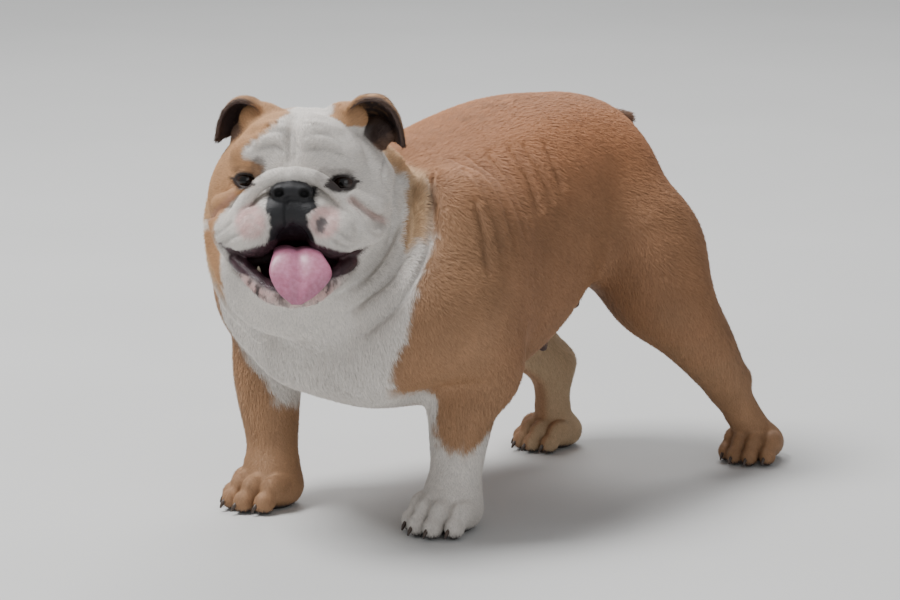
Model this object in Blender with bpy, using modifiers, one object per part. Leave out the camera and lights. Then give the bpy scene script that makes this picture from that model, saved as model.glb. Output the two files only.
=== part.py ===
# English bulldog, a standing female of the broad, wrinkled form, life size.
# Metres, +Z up. It faces -Y and its left side is +X. The origin is on the floor
# under the middle of the model's box. The flesh is modelled as one body, like
# clay on a grid, and then parted by thin flat cuts into head, neck, torso, tail,
# legs and ears. Eyes, nose leather, tongue, teeth and claws are pieces of their own.

import math

import bmesh
import bpy
import numpy as np
import openvdb
from mathutils import Euler, Matrix, Vector

# Driving dimensions
GAP = 0.0003
FAR = 0.05
BODY_CELL = 0.003
HEAD_CELL = 0.002

# Brings the middle of the model's box over the origin; the rest is given from the dog's middle line
TO_MIDDLE = (-0.003, 0.004, 0.0)

# Where the point between the eyes is, and how the head is turned and lifted
HEAD_AT = (0.030, -0.262, 0.345)
HEAD_TURN = 36.0
HEAD_LIFT = 8.0
MUZZLE_TURN = 6.5

# The trunk, station by station from chest to rump
TRUNK = {
    "along": (-0.185, -0.15, -0.10, -0.05, 0.00, 0.05, 0.10, 0.15, 0.19, 0.225),
    "top": (0.290, 0.318, 0.343, 0.358, 0.371, 0.3800, 0.380, 0.372, 0.354, 0.321),
    "bottom": (0.155, 0.124, 0.110, 0.108, 0.118, 0.141, 0.180, 0.208, 0.214, 0.228),
    "widest": (0.215, 0.215, 0.220, 0.225, 0.235, 0.245, 0.260, 0.270, 0.275, 0.275),
    "half_width": (0.085, 0.108, 0.120, 0.124, 0.121, 0.111, 0.097, 0.086, 0.072, 0.044),
}
TRUNK_SQUARENESS = 2.3

EYE = {"at": (0.0452, 0.0045, 0.0), "radius": 0.0125}


# The tips of the teats on the left, mirrored on the right
TEATS = (((0.060, -0.013, 0.120), 0.0042), ((0.060, 0.046, 0.144), 0.0046), ((0.060, 0.092, 0.180), 0.0052))

# Head shapes are given left, back, up from between the eyes
LIP = {
    "path": ((0, -0.038, -0.1035), (0.020, -0.036, -0.0995), (0.037, -0.026, -0.0860),
             (0.054, -0.008, -0.0700), (0.066, 0.004, -0.0540), (0.075, 0.013, -0.0400)),
    "radii": (0.0105, 0.0100, 0.0092, 0.0080, 0.0068, 0.005),
}
# The roll over the nose, down to its curl at the corner of the mouth, and the cheek above it
CHEEK_ROLLS = (
    (((-0.001, -0.0300, 0.0080), (0.0160, -0.0290, 0.0060), (0.0310, -0.0260, -0.0020),
      (0.0450, -0.0230, -0.0165), (0.0560, -0.0240, -0.0320), (0.0640, -0.0210, -0.0445),
      (0.0730, -0.0070, -0.0485), (0.0800, 0.008, -0.0420)),
     (0.0070, 0.0070, 0.0068, 0.0070, 0.0074, 0.0076, 0.0068, 0.0050), 0.0025),
    (((0.048, -0.008, -0.008), (0.061, -0.006, -0.0155), (0.072, 0.003, -0.0215), (0.077, 0.016, -0.022)),
     (0.005, 0.0080, 0.0098, 0.0075), 0.004),
)
# The rolls of loose skin behind the cheeks: two on the left, where the neck bends, and two on the right
NECK_ROLLS = (
    (((0.056, 0.092, 0.036), (0.085, 0.080, 0.006), (0.0950, 0.060, -0.028), (0.0935, 0.038, -0.058),
      (0.073, 0.027, -0.088), (0.043, 0.020, -0.109)),
     (0.006, 0.0110, 0.0115, 0.0108, 0.0095, 0.007), 0.005),
    (((0.054, 0.120, 0.018), (0.095, 0.106, -0.010), (0.110, 0.082, -0.036), (0.108, 0.048, -0.060),
      (0.095, 0.024, -0.089), (0.078, 0.021, -0.106), (0.058, 0.030, -0.122)),
     (0.006, 0.0120, 0.0130, 0.0122, 0.0110, 0.0100, 0.007), 0.005),
    (((-0.042, 0.092, 0.036), (-0.072, 0.080, 0.004), (-0.082, 0.066, -0.045), (-0.066, 0.046, -0.090),
      (-0.033, 0.036, -0.112)), (0.006, 0.0115, 0.0135, 0.012, 0.008), 0.006),
    (((-0.026, 0.120, 0.018), (-0.068, 0.106, -0.012), (-0.082, 0.090, -0.060), (-0.068, 0.072, -0.110),
      (-0.042, 0.070, -0.146)), (0.006, 0.0125, 0.0155, 0.0135, 0.008), 0.008),
)
# The swell in front of each ear, the filled hollow of the left one and the small knobs at their lower edge
EAR_ROOTS = ((0.040, 0.036, 0.057), (-0.037, 0.036, 0.055))
EAR_HOLLOW = (0.067, 0.054, 0.045)
EAR_KNOBS = ((0.0745, 0.046, 0.040), (-0.056, 0.040, 0.040))
TONGUE = {
    "path": ((0, 0.022, -0.066), (0.002, -0.010, -0.062), (0.0050, -0.036, -0.0645),
             (0.0085, -0.0505, -0.081), (0.0068, -0.0560, -0.098), (0.0055, -0.0575, -0.1090)),
    "half_width": (0.018, 0.020, 0.0225, 0.0285, 0.0185, 0.0045),
    "half_thick": (0.0050, 0.0050, 0.0048, 0.0042, 0.0036, 0.0026),
}
CANINE = {"root": (0.0300, -0.0240, -0.0940), "tip": (0.0310, -0.0262, -0.0765), "radius": 0.0030}
NOSE = {"at": (-0.001, -0.0430, -0.0065), "radii": (0.0215, 0.0155, 0.0120)}
TAIL = {
    "path": ((0, 0.196, 0.326), (0.003, 0.214, 0.338), (0.008, 0.226, 0.340)),
    "radii": (0.016, 0.0125, 0.0085),
}

# An ear's flap: its front edge, its crown and its back edge, from the skull out to the tip
EAR = {
    "front": ((0.034, 0.034, 0.046), (0.042, 0.024, 0.063), (0.055, 0.019, 0.073), (0.071, 0.021, 0.075),
              (0.084, 0.026, 0.066), (0.091, 0.031, 0.052), (0.0940, 0.034, 0.037)),
    "crown": ((0.034, 0.044, 0.048), (0.047, 0.044, 0.071), (0.061, 0.047, 0.0775), (0.075, 0.048, 0.075),
              (0.086, 0.046, 0.062), (0.0915, 0.042, 0.048), (0.0945, 0.037, 0.035)),
    "back": ((0.034, 0.054, 0.042), (0.048, 0.066, 0.052), (0.060, 0.070, 0.052), (0.070, 0.069, 0.047),
             (0.079, 0.061, 0.041), (0.087, 0.050, 0.037), (0.0935, 0.040, 0.033)),
    "thick": 0.0030,
}
EAR_POSE = {"left": (1.0, 1.0, 0.0), "right": (0.86, 0.86, 0.007)}

# Where the flesh is parted: a point on each flat and the way it faces
HEAD_CUT = {"at": (0, 0.090, 0), "tilt": 30.0, "side_at": (0.128, 0, -0.045), "side_tilt": 24.0,
            "low": -0.128}
NECK_CUT = {"at": (0, -0.140, 0.300), "tilt": 45.0}
TAIL_CUT = {"at": (0.003, 0.212, 0.338), "facing": (0.20, 0.85, 0.50), "half_width": 0.026, "low": 0.312}
TRIANGLES = {"head": 4500, "rest": 5400}


def smooth_rows(rows, steps):
    # Points read from a smooth curve through the given rows
    rows = np.array(rows, float)
    if len(rows) < 3:
        share = np.linspace(0, 1, steps + 1)[:, None]
        return rows[0] * (1 - share) + rows[-1] * share
    ends = np.vstack([2 * rows[0] - rows[1], rows, 2 * rows[-1] - rows[-2]])
    made = []
    for a, b, c, d in zip(ends, ends[1:], ends[2:], ends[3:]):
        for t in np.linspace(0, 1, steps, endpoint=False):
            made.append(
                0.5 * (2 * b + (c - a) * t + (2 * a - 5 * b + 4 * c - d) * t**2
                       + (3 * b - a - 3 * c + d) * t**3)
            )
    return np.array(made + [rows[-1]])


def melt(a, b, blend):
    # The smaller of two distances, rounded where they meet
    near = np.maximum(blend - np.abs(a - b), 0)
    return np.minimum(a, b) - near * near / (4 * blend)


class Clay:
    # A block of space on a grid that holds the distance to the surface at each point

    def __init__(self, low, high, cell):
        self.low = np.array(low, float)
        self.cell = cell
        self.count = np.ceil((np.array(high) - self.low) / cell).astype(int) + 1
        self.field = np.full(self.count, FAR, np.float32)
        self.stand()

    def stand(self, at=(0, 0, 0), turn=None):
        # Sets the frame that the next shapes are given in
        self.at = np.array(at, float)
        self.turn = np.eye(3) if turn is None else np.array(turn, float)

    def window(self, low, high, both):
        # The part of the grid near a box of the current frame, and its points there
        x0, x1 = (-high[0], high[0]) if both else (low[0], high[0])
        corners = np.array([(x, y, z) for x in (x0, x1) for y in (low[1], high[1])
                            for z in (low[2], high[2])])
        world = corners @ self.turn.T + self.at
        first = np.floor((world.min(0) - self.low) / self.cell).astype(int)
        last = np.ceil((world.max(0) - self.low) / self.cell).astype(int) + 1
        first = np.clip(first, 0, self.count)
        last = np.clip(last, first, self.count)
        away = [self.low[i] + self.cell * np.arange(first[i], last[i]) - self.at[i] for i in range(3)]
        away = np.meshgrid(*away, indexing="ij", sparse=True)
        points = [sum(self.turn[i, j] * away[i] for i in range(3)) for j in range(3)]
        if both:
            points[0] = np.abs(points[0])
        return tuple(slice(a, b) for a, b in zip(first, last)), points

    def press(self, part, distance, blend, cut):
        held = self.field[part]
        if cut:
            self.field[part] = -melt(-held, distance.astype(np.float32), blend)
        else:
            self.field[part] = melt(held, distance.astype(np.float32), blend)

    def ball(self, at, radii, blend=0.008, turn=(0, 0, 0), both=False, cut=False):
        at = np.array(at, float)
        radii = np.array(radii, float)
        reach = np.full(3, radii.max() + blend + 0.01)
        if turn == (0, 0, 0):
            reach = radii + blend + 0.01
        part, (x, y, z) = self.window(at - reach, at + reach, both)
        spin = np.array(Euler([math.radians(a) for a in turn]).to_matrix())
        away = (x - at[0], y - at[1], z - at[2])
        own = [sum(spin[i, j] * away[i] for i in range(3)) for j in range(3)]
        near = np.sqrt(sum((own[j] / radii[j]) ** 2 for j in range(3)))
        steep = np.sqrt(sum((own[j] / radii[j] ** 2) ** 2 for j in range(3)))
        self.press(part, near * (near - 1) / np.maximum(steep, 1e-6), blend, cut)

    def rope(self, path, radii, blend=0.004, both=False, cut=False, steps=7):
        rows = smooth_rows([list(p) + [r] for p, r in zip(path, radii)], steps)
        reach = rows[:, 3].max() + blend + 0.01
        low, high = rows[:, :3].min(0) - reach, rows[:, :3].max(0) + reach
        part, (x, y, z) = self.window(low, high, both)
        shape = np.broadcast_shapes(x.shape, y.shape, z.shape)
        nearest = np.full(shape, 1.0, np.float32)
        thick = np.zeros(shape, np.float32)
        for a, b in zip(rows, rows[1:]):
            way = b[:3] - a[:3]
            long = max(float(way @ way), 1e-10)
            share = ((x - a[0]) * way[0] + (y - a[1]) * way[1] + (z - a[2]) * way[2]) / long
            share = np.clip(share, 0, 1)
            off = [c - a[i] - share * way[i] for i, c in enumerate((x, y, z))]
            away = off[0] ** 2 + off[1] ** 2 + off[2] ** 2
            closer = away < nearest
            nearest[closer] = away[closer]
            thick[closer] = (a[3] + share * (b[3] - a[3]))[closer]
        self.press(part, np.sqrt(nearest) - thick, blend, cut)

    def soften(self, low, high, times):
        # Evens out creases by mixing each point of a box with its six neighbours
        first = np.clip(((np.array(low) - self.low) / self.cell).astype(int), 1, self.count - 2)
        last = np.clip(((np.array(high) - self.low) / self.cell).astype(int), 2, self.count - 1)
        core = tuple(slice(a, b) for a, b in zip(first, last))
        for _ in range(times):
            mixed = np.zeros_like(self.field[core])
            for axis in range(3):
                for way in (-1, 1):
                    moved = tuple(slice(a + way * (i == axis), b + way * (i == axis))
                                  for i, (a, b) in enumerate(zip(first, last)))
                    mixed += self.field[moved]
            self.field[core] = 0.4 * self.field[core] + 0.1 * mixed

    def keep(self, planes, inside, spare=0.004):
        # Cuts away what lies clear outside the given planes, or clear inside them
        away = [self.low[i] + self.cell * np.arange(self.count[i]) for i in range(3)]
        x, y, z = np.meshgrid(*away, indexing="ij", sparse=True)
        over = np.full(self.field.shape, -1.0, np.float32)
        for point, normal in planes:
            past = (x - point[0]) * normal[0] + (y - point[1]) * normal[1] + (z - point[2]) * normal[2]
            over = np.maximum(over, past.astype(np.float32))
        self.field = np.maximum(self.field, (over if inside else -over) - np.float32(spare))

    def mesh(self, name):
        grid = openvdb.FloatGrid(FAR)
        grid.copyFromArray(self.field)
        points, quads = grid.convertToQuads()
        points = points.astype(float) * self.cell + self.low
        made = bpy.data.meshes.new(name)
        made.from_pydata(points.tolist(), [], quads[:, ::-1].tolist())
        made.validate()
        return made


def head_frame():
    turn = Matrix.Rotation(math.radians(HEAD_TURN), 3, "Z")
    lift = Matrix.Rotation(math.radians(-HEAD_LIFT), 3, "X")
    return np.array(turn @ lift)


def muzzle_frame():
    # The muzzle is turned a little more than the skull
    return head_frame() @ np.array(Matrix.Rotation(math.radians(MUZZLE_TURN), 3, "Z"))


def ease(value, low, high):
    share = min(max((value - low) / (high - low), 0), 1)
    return share * share * (3 - 2 * share)


def shape_trunk(clay):
    rows = smooth_rows(np.array([TRUNK[k] for k in TRUNK]).T, 6)
    first, last = rows[0, 0], rows[-1, 0]
    part, (x, y, z) = clay.window((-0.17, first - 0.03, 0.06), (0.17, last + 0.03, 0.42), False)
    top, bottom, widest, half = (np.interp(y, rows[:, 0], rows[:, i]) for i in range(1, 5))
    tall = np.where(z > widest, top - widest, widest - bottom)
    n = TRUNK_SQUARENESS
    near = (np.abs(x / half) ** n + np.abs((z - widest) / tall) ** n) ** (1 / n)
    distance = (near - 1) * np.minimum(half, tall)
    distance = np.maximum(distance, np.maximum(first - y, y - last))
    clay.press(part, distance, 0.004, False)
    # Chest, shoulders, loin and rump
    clay.ball((0, -0.160, 0.205), (0.100, 0.062, 0.085), 0.03)
    clay.ball((0.048, -0.178, 0.185), (0.058, 0.042, 0.058), 0.03, both=True)
    clay.ball((0, -0.115, 0.158), (0.072, 0.072, 0.046), 0.03)
    clay.ball((0.088, -0.105, 0.250), (0.060, 0.072, 0.096), 0.035, (12, 0, 0), both=True)
    clay.ball((0.102, -0.164, 0.216), (0.052, 0.055, 0.062), 0.03, both=True)
    clay.ball((0, 0.155, 0.290), (0.086, 0.055, 0.070), 0.03)
    clay.ball((0.046, 0.172, 0.255), (0.044, 0.045, 0.066), 0.03, both=True)


def shape_neck(clay):
    turn = head_frame()
    back = turn @ np.array((0, 0.075, -0.015)) + np.array(HEAD_AT)
    clay.rope([back, (-0.002, -0.150, 0.260), (0, -0.080, 0.246)], (0.070, 0.087, 0.096), 0.03)


FRONT_LEG = {
    "left": {
        "shoulder": (0.098, -0.135, 0.215), "elbow": (0.106, -0.092, 0.158),
        "forearm": (0.098, -0.108, 0.120), "wrist": (0.094, -0.113, 0.062),
        "pastern": (0.094, -0.118, 0.036), "foot": (0.094, -0.124), "turn": 6,
    },
    "right": {
        "shoulder": (-0.100, -0.150, 0.215), "elbow": (-0.121, -0.142, 0.160),
        "forearm": (-0.114, -0.156, 0.120), "wrist": (-0.103, -0.162, 0.062),
        "pastern": (-0.099, -0.167, 0.036), "foot": (-0.096, -0.174), "turn": -8,
    },
}
FRONT_LEG_RADII = (0.058, 0.042, 0.0345, 0.0268, 0.0262)

REAR_LEG = {
    "left": {
        "hip": (0.070, 0.158, 0.240), "knee": (0.108, 0.172, 0.182), "shank": (0.119, 0.214, 0.130),
        "hock": (0.120, 0.254, 0.083), "heel": (0.122, 0.272, 0.086), "foot": (0.129, 0.290), "turn": 14,
    },
    "right": {
        "hip": (-0.070, 0.150, 0.240), "knee": (-0.088, 0.124, 0.170), "shank": (-0.077, 0.158, 0.122),
        "hock": (-0.060, 0.196, 0.083), "heel": (-0.060, 0.212, 0.086), "foot": (-0.055, 0.190), "turn": -10,
    },
}
REAR_LEG_RADII = (0.056, 0.045, 0.034, 0.0240)

PAW = {"front": 0.94, "rear": 0.84}
TOES = ((-0.0255, -0.020), (-0.0090, -0.033), (0.0090, -0.033), (0.0255, -0.020))


def shape_paw(clay, foot, turn, size):
    # A round paw with four arched toes, standing on the floor
    spin = np.array(Matrix.Rotation(math.radians(turn), 3, "Z"))
    clay.stand((foot[0], foot[1], 0), spin)
    s = size
    clay.ball((0, 0.006 * s, 0.020 * s), (0.031 * s, 0.032 * s, 0.024 * s), 0.010)
    for x, y in TOES:
        clay.ball((x * s, (y + 0.010) * s, 0.024 * s), (0.0105 * s, 0.018 * s, 0.0155 * s), 0.004)
        clay.ball((x * 1.06 * s, (y - 0.006) * s, 0.012 * s), (0.0098 * s, 0.0125 * s, 0.0125 * s), 0.004)
    clay.stand()


def shape_legs(clay):
    for leg in FRONT_LEG.values():
        path = [leg[k] for k in ("shoulder", "elbow", "forearm", "wrist", "pastern")]
        clay.rope(path, FRONT_LEG_RADII, 0.022)
        clay.rope([leg["pastern"], (leg["foot"][0], leg["foot"][1], 0.022)], (0.0265, 0.026), 0.008)
    for leg in REAR_LEG.values():
        side = math.copysign(1, leg["hip"][0])
        path = [leg[k] for k in ("hip", "knee", "shank", "hock")]
        clay.rope(path, REAR_LEG_RADII, 0.030)
        hip, knee = np.array(leg["hip"]), np.array(leg["knee"])
        clay.ball((hip + knee) / 2 + (side * 0.004, 0.010, 0.0), (0.042, 0.056, 0.064), 0.03, (-20, 0, 0))
        foot = (leg["foot"][0], leg["foot"][1], 0.024)
        clay.rope([leg["heel"], leg["hock"], foot], (0.013, 0.020, 0.0185), 0.012)


def shape_paws(clay):
    for leg in FRONT_LEG.values():
        shape_paw(clay, leg["foot"], leg["turn"], PAW["front"])
    for leg in REAR_LEG.values():
        shape_paw(clay, leg["foot"], leg["turn"], PAW["rear"])


def shape_skull(clay):
    clay.stand(HEAD_AT, head_frame())
    clay.ball((0, 0.055, 0.006), (0.074, 0.078, 0.060), 0.02)
    clay.ball((0.046, 0.046, -0.020), (0.042, 0.050, 0.046), 0.02, both=True)
    clay.ball((0, 0.012, 0.034), (0.050, 0.030, 0.030), 0.012)
    clay.ball((0.033, 0.006, 0.024), (0.028, 0.018, 0.017), 0.010, both=True)
    clay.ball((0, -0.004, -0.028), (0.050, 0.030, 0.028), 0.012)


def shape_muzzle(clay):
    clay.stand(HEAD_AT, muzzle_frame())
    # Lower jaw and throat, then the open mouth and its lower lip
    clay.ball((0, 0.000, -0.086), (0.046, 0.042, 0.024), 0.012)
    clay.ball((0, 0.040, -0.078), (0.070, 0.052, 0.046), 0.02)
    clay.ball((0, -0.012, -0.073), (0.058, 0.056, 0.0185), 0.004, (-6, 0, 0), cut=True)
    clay.rope(LIP["path"], LIP["radii"], 0.004, both=True)
    # Upper lips, hanging as two pads that part under the nose
    clay.ball((0, -0.026, -0.024), (0.018, 0.016, 0.016), 0.006)
    clay.ball((0.017, -0.025, -0.029), (0.019, 0.020, 0.018), 0.007, both=True)
    clay.ball((0.0355, -0.021, -0.0455), (0.0245, 0.0255, 0.0245), 0.006, (0, 0, 10), both=True)
    clay.ball((0.056, 0.000, -0.0445), (0.0195, 0.027, 0.0215), 0.008, both=True)
    clay.rope([(-0.002, -0.040, -0.0425), (-0.001, -0.040, -0.052), (0.001, -0.040, -0.064)],
              (0.0012, 0.0075, 0.0165), 0.003, cut=True)
    # Nose
    clay.ball((-0.001, -0.0315, -0.0065), (0.0190, 0.0115, 0.0090), 0.003)
    for side in (1, -1):
        clay.ball((side * 0.0112 - 0.001, -0.0362, -0.0085), (0.0086, 0.0078, 0.0076), 0.003)
        clay.ball((side * 0.0116 - 0.001, -0.0435, -0.0092), (0.0046, 0.0070, 0.0036), 0.0012,
                  (0, side * 18, 0), cut=True)
    clay.rope([(-0.001, -0.0450, -0.005), (-0.0015, -0.0440, -0.016), (-0.0025, -0.0445, -0.030),
               (-0.0030, -0.0450, -0.042)], (0.0009, 0.0012, 0.0012, 0.0016), 0.0028, cut=True)
    for side, tuck in ((1, 0.0), (-1, 0.09)):
        for path, radii, blend in CHEEK_ROLLS:
            path = [(side * u * (1 - tuck * ease(u, 0.03, 0.07)), y, z) for u, y, z in path]
            clay.rope(path, radii, blend)


def shape_brow(clay):
    clay.stand(HEAD_AT, head_frame())
    clay.rope([(0.004, -0.014, 0.037), (0.014, -0.016, 0.040), (0.028, -0.012, 0.037),
               (0.044, 0.001, 0.028)], (0.003, 0.0045, 0.0050, 0.004), 0.010, both=True)
    clay.rope([(0.008, -0.013, 0.049), (0.020, -0.010, 0.050), (0.034, 0.000, 0.046)],
              (0.003, 0.004, 0.003), 0.010, both=True)
    clay.rope([(-0.001, -0.026, 0.018), (-0.001, -0.022, 0.034), (0, -0.008, 0.056), (0, 0.030, 0.073),
               (0, 0.080, 0.072)], (0.0015, 0.0025, 0.003, 0.004, 0.003), 0.009, cut=True)


def shape_lids(clay):
    x, y, z = EYE["at"]
    r = EYE["radius"]
    clay.ball((x, y - 0.010, z), (r, 0.012, 0.0085), 0.004, both=True, cut=True)
    clay.ball((x, y, z), (r * 0.96, r * 0.96, r * 0.96), 0.001, both=True)
    inner, outer = (x - 0.0118, y - 0.0075, z - 0.0022), (x + 0.0120, y - 0.0035, z + 0.0016)
    for rise in (0.0077, -0.0072):
        clay.rope([inner, (x - 0.0010, y - r + 0.0003, z + rise), outer], (0.0021, 0.0028, 0.0021), 0.002,
                  both=True)
    clay.ball((x, y - 0.014, z + 0.0003), (0.0094, 0.0098, 0.0048), 0.001, both=True, cut=True)


def shape_head(clay):
    shape_skull(clay)
    shape_muzzle(clay)
    shape_brow(clay)
    shape_lids(clay)
    for at in EAR_ROOTS:
        clay.ball(at, (0.021, 0.014, 0.016), 0.010)
    clay.ball(EAR_HOLLOW, (0.013, 0.012, 0.014), 0.008)
    for at in EAR_KNOBS:
        clay.ball(at, (0.010, 0.010, 0.011), 0.008)
    # The throat and the rolls of loose skin
    clay.ball((0, 0.062, -0.095), (0.078, 0.050, 0.055), 0.02)
    for path, radii, blend in NECK_ROLLS:
        clay.rope(path, radii, blend)
    clay.stand()


def shape_tail(clay):
    clay.rope(TAIL["path"], TAIL["radii"], 0.008)


def shape_teats(clay):
    for (x, y, z), r in TEATS:
        clay.rope([(x, y, z + 0.018), (x, y, z)], (r * 1.3, r), 0.003, both=True)


def clear_scene():
    for item in list(bpy.data.objects):
        bpy.data.objects.remove(item)


# Each node's own finish, found by the start of its name: colour, then roughness
FINISHES = {
    "claw": ((0.06, 0.045, 0.035), 0.35),
    "nose": ((0.02, 0.02, 0.022), 0.4),
    "eye": ((0.05, 0.025, 0.015), 0.1),
    "canine": ((0.75, 0.68, 0.52), 0.4),
    "tongue": ((0.72, 0.35, 0.40), 0.4),
    "head": ((0.80, 0.74, 0.66), 0.6),
    "neck": ((0.66, 0.50, 0.36), 0.6),
    "ear": ((0.42, 0.22, 0.12), 0.6),
    "": ((0.52, 0.28, 0.13), 0.6),
}


def finish(name):
    colour, roughness = next(FINISHES[key] for key in FINISHES if name.startswith(key))
    material = bpy.data.materials.new(name)
    material.use_nodes = True
    shader = material.node_tree.nodes["Principled BSDF"]
    shader.inputs["Base Color"].default_value = (*colour, 1)
    shader.inputs["Roughness"].default_value = roughness
    shader.inputs["Metallic"].default_value = 0.0
    material.diffuse_color = (*colour, 1)
    return material


def made(name, mesh, home):
    item = bpy.data.objects.new(name, mesh)
    home.objects.link(item)
    return item


def settled(item):
    # The object's modifiers worked into its mesh
    graph = bpy.context.evaluated_depsgraph_get()
    held = bpy.data.meshes.new_from_object(item.evaluated_get(graph))
    item.modifiers.clear()
    item.data = held
    return item


def thinned(item, triangles):
    item.data.calc_loop_triangles()
    thin = item.modifiers.new("thin", "DECIMATE")
    thin.ratio = triangles / len(item.data.loop_triangles)
    thin.use_collapse_triangulate = True
    return settled(item)


def biggest(item):
    # Keeps the largest closed surface and drops crumbs
    form = bmesh.new()
    form.from_mesh(item.data)
    left = set(form.verts)
    groups = []
    while left:
        seed = left.pop()
        group, edge = {seed}, [seed]
        while edge:
            for link in edge.pop().link_edges:
                for vert in link.verts:
                    if vert not in group:
                        group.add(vert)
                        edge.append(vert)
        left -= group
        groups.append(group)
    groups.sort(key=len)
    for group in groups[:-1]:
        bmesh.ops.delete(form, geom=list(group), context="VERTS")
    form.to_mesh(item.data)
    form.free()
    return item


def joined(item, other, way):
    change = item.modifiers.new(way.lower(), "BOOLEAN")
    change.operation = way
    change.object = other
    change.solver = "EXACT"
    settled(item)
    return item


def region(planes, grow, home):
    # A large block cut down to the inside of the planes, each moved out by grow
    form = bmesh.new()
    bmesh.ops.create_cube(form, size=2.0)
    for point, normal in planes:
        normal = Vector(normal).normalized()
        parts = form.verts[:] + form.edges[:] + form.faces[:]
        cut = bmesh.ops.bisect_plane(form, geom=parts, plane_co=Vector(point) + normal * grow,
                                     plane_no=normal, clear_outer=True)
        edges = [g for g in cut["geom_cut"] if isinstance(g, bmesh.types.BMEdge)]
        bmesh.ops.contextual_create(form, geom=edges)
    bmesh.ops.recalc_face_normals(form, faces=form.faces)
    mesh = bpy.data.meshes.new("region")
    form.to_mesh(mesh)
    form.free()
    return made("region", mesh, home)


def part_off(item, name, planes, home, helpers):
    # Splits item at the planes with a thin gap, and returns the piece inside them
    inside = region(planes, -GAP / 2, helpers)
    outside = region(planes, GAP / 2, helpers)
    piece = made(name, item.data.copy(), home)
    joined(piece, inside, "INTERSECT")
    joined(item, outside, "DIFFERENCE")
    biggest(piece)
    return piece


def swollen(item, by, helpers):
    # A copy grown by the gap along its surface, to sink a socket with
    mesh = item.data.copy()
    form = bmesh.new()
    form.from_mesh(mesh)
    bmesh.ops.recalc_face_normals(form, faces=form.faces)
    form.normal_update()
    for vert in form.verts:
        vert.co += vert.normal * by * vert.calc_shell_factor()
    form.to_mesh(mesh)
    form.free()
    return made(item.name + " socket", mesh, helpers)


def to_world(points, side=1, turn=None):
    # Points given from between the eyes, on the left or the right side, as world places
    turn, at = head_frame() if turn is None else turn, np.array(HEAD_AT)
    return [tuple(turn @ (np.array(p, float) * (side, 1, 1)) + at) for p in points]


def solid_from(name, points, faces, home):
    mesh = bpy.data.meshes.new(name)
    mesh.from_pydata(points, [], faces)
    form = bmesh.new()
    form.from_mesh(mesh)
    bmesh.ops.recalc_face_normals(form, faces=form.faces)
    form.to_mesh(mesh)
    form.free()
    return made(name, mesh, home)


def tube(rings):
    # Faces that skin a stack of equal rings and close both its ends
    faces = []
    size = len(rings[0])
    for i in range(len(rings) - 1):
        for j in range(size):
            k = (j + 1) % size
            faces.append((i * size + j, i * size + k, (i + 1) * size + k, (i + 1) * size + j))
    last = (len(rings) - 1) * size
    return [p for ring in rings for p in ring], faces + [tuple(range(size)), tuple(range(last, last + size))]


def make_ear(name, side, home):
    edges = [smooth_rows(EAR[k], 2) for k in ("front", "crown", "back")]
    rows = [smooth_rows([e[i] for e in edges], 3) for i in range(len(edges[0]))]
    size = len(rows[0])
    wide, tall, inward = EAR_POSE["left" if side > 0 else "right"]
    root = np.array(EAR["front"][0])
    points = [root - (inward, 0, 0) + (p - root) * (wide, 1, tall) for row in rows for p in row]
    points = to_world(points, side)
    faces = [(i * size + j, i * size + j + 1, (i + 1) * size + j + 1, (i + 1) * size + j)
             for i in range(len(rows) - 1) for j in range(size - 1)]
    if side < 0:
        faces = [f[::-1] for f in faces]
    mesh = bpy.data.meshes.new(name)
    mesh.from_pydata(points, [], faces)
    item = made(name, mesh, home)
    shell = item.modifiers.new("thickness", "SOLIDIFY")
    shell.thickness = EAR["thick"]
    shell.offset = 0
    shell.use_even_offset = True
    settled(item)
    form = bmesh.new()
    form.from_mesh(item.data)
    bmesh.ops.recalc_face_normals(form, faces=form.faces)
    form.to_mesh(item.data)
    form.free()
    return item


def make_tongue(home):
    rows = smooth_rows(np.column_stack([TONGUE["path"], TONGUE["half_width"], TONGUE["half_thick"]]), 3)
    rings = []
    for i, (x, y, z, wide, thick) in enumerate(rows):
        way = rows[min(i + 1, len(rows) - 1)][:3] - rows[max(i - 1, 0)][:3]
        up = np.array((0, way[2], -way[1])) / np.linalg.norm(way[1:])
        if up[2] < 0 and i < 4:
            up = -up
        ring = []
        for a in np.linspace(0, 2 * math.pi, 12, endpoint=False):
            across, over = math.cos(a) * wide, math.sin(a) * thick
            dip = 0.0022 * math.exp(-((across / 0.006) ** 2)) if over > 0 else 0
            ring.append(np.array((x + across, y, z)) + up * (over - dip))
        rings.append(to_world(ring, 1, muzzle_frame()))
    points, faces = tube(rings)
    return solid_from("tongue", points, faces, home)


def make_eye(name, side, home):
    form = bmesh.new()
    bmesh.ops.create_uvsphere(form, u_segments=14, v_segments=8, radius=EYE["radius"])
    mesh = bpy.data.meshes.new(name)
    spin = Matrix(head_frame().tolist()).to_4x4() @ Matrix.Rotation(math.radians(90), 4, "X")
    form.transform(Matrix.Translation(to_world([EYE["at"]], side)[0]) @ spin)
    form.to_mesh(mesh)
    form.free()
    return made(name, mesh, home)


def make_canine(name, side, home):
    root, tip = np.array(CANINE["root"]), np.array(CANINE["tip"])
    rings = []
    for share, width in ((0, 1.0), (0.45, 0.95), (0.8, 0.6), (1.0, 0.22)):
        middle = root + (tip - root) * share
        ring = [middle + CANINE["radius"] * width * np.array((math.cos(a), math.sin(a), 0))
                for a in np.linspace(0, 2 * math.pi, 8, endpoint=False)]
        ring = [p * (side, 1, 1) for p in ring]
        rings.append(to_world(ring, 1, muzzle_frame()))
    points, faces = tube(rings)
    return solid_from(name, points, faces, home)


CLAW = {"path": ((0, -0.030, 0.0150), (0, -0.043, 0.0135), (0, -0.0515, 0.0090), (0, -0.0550, 0.0042)),
        "radii": (0.0030, 0.0031, 0.0024, 0.0010)}


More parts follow.
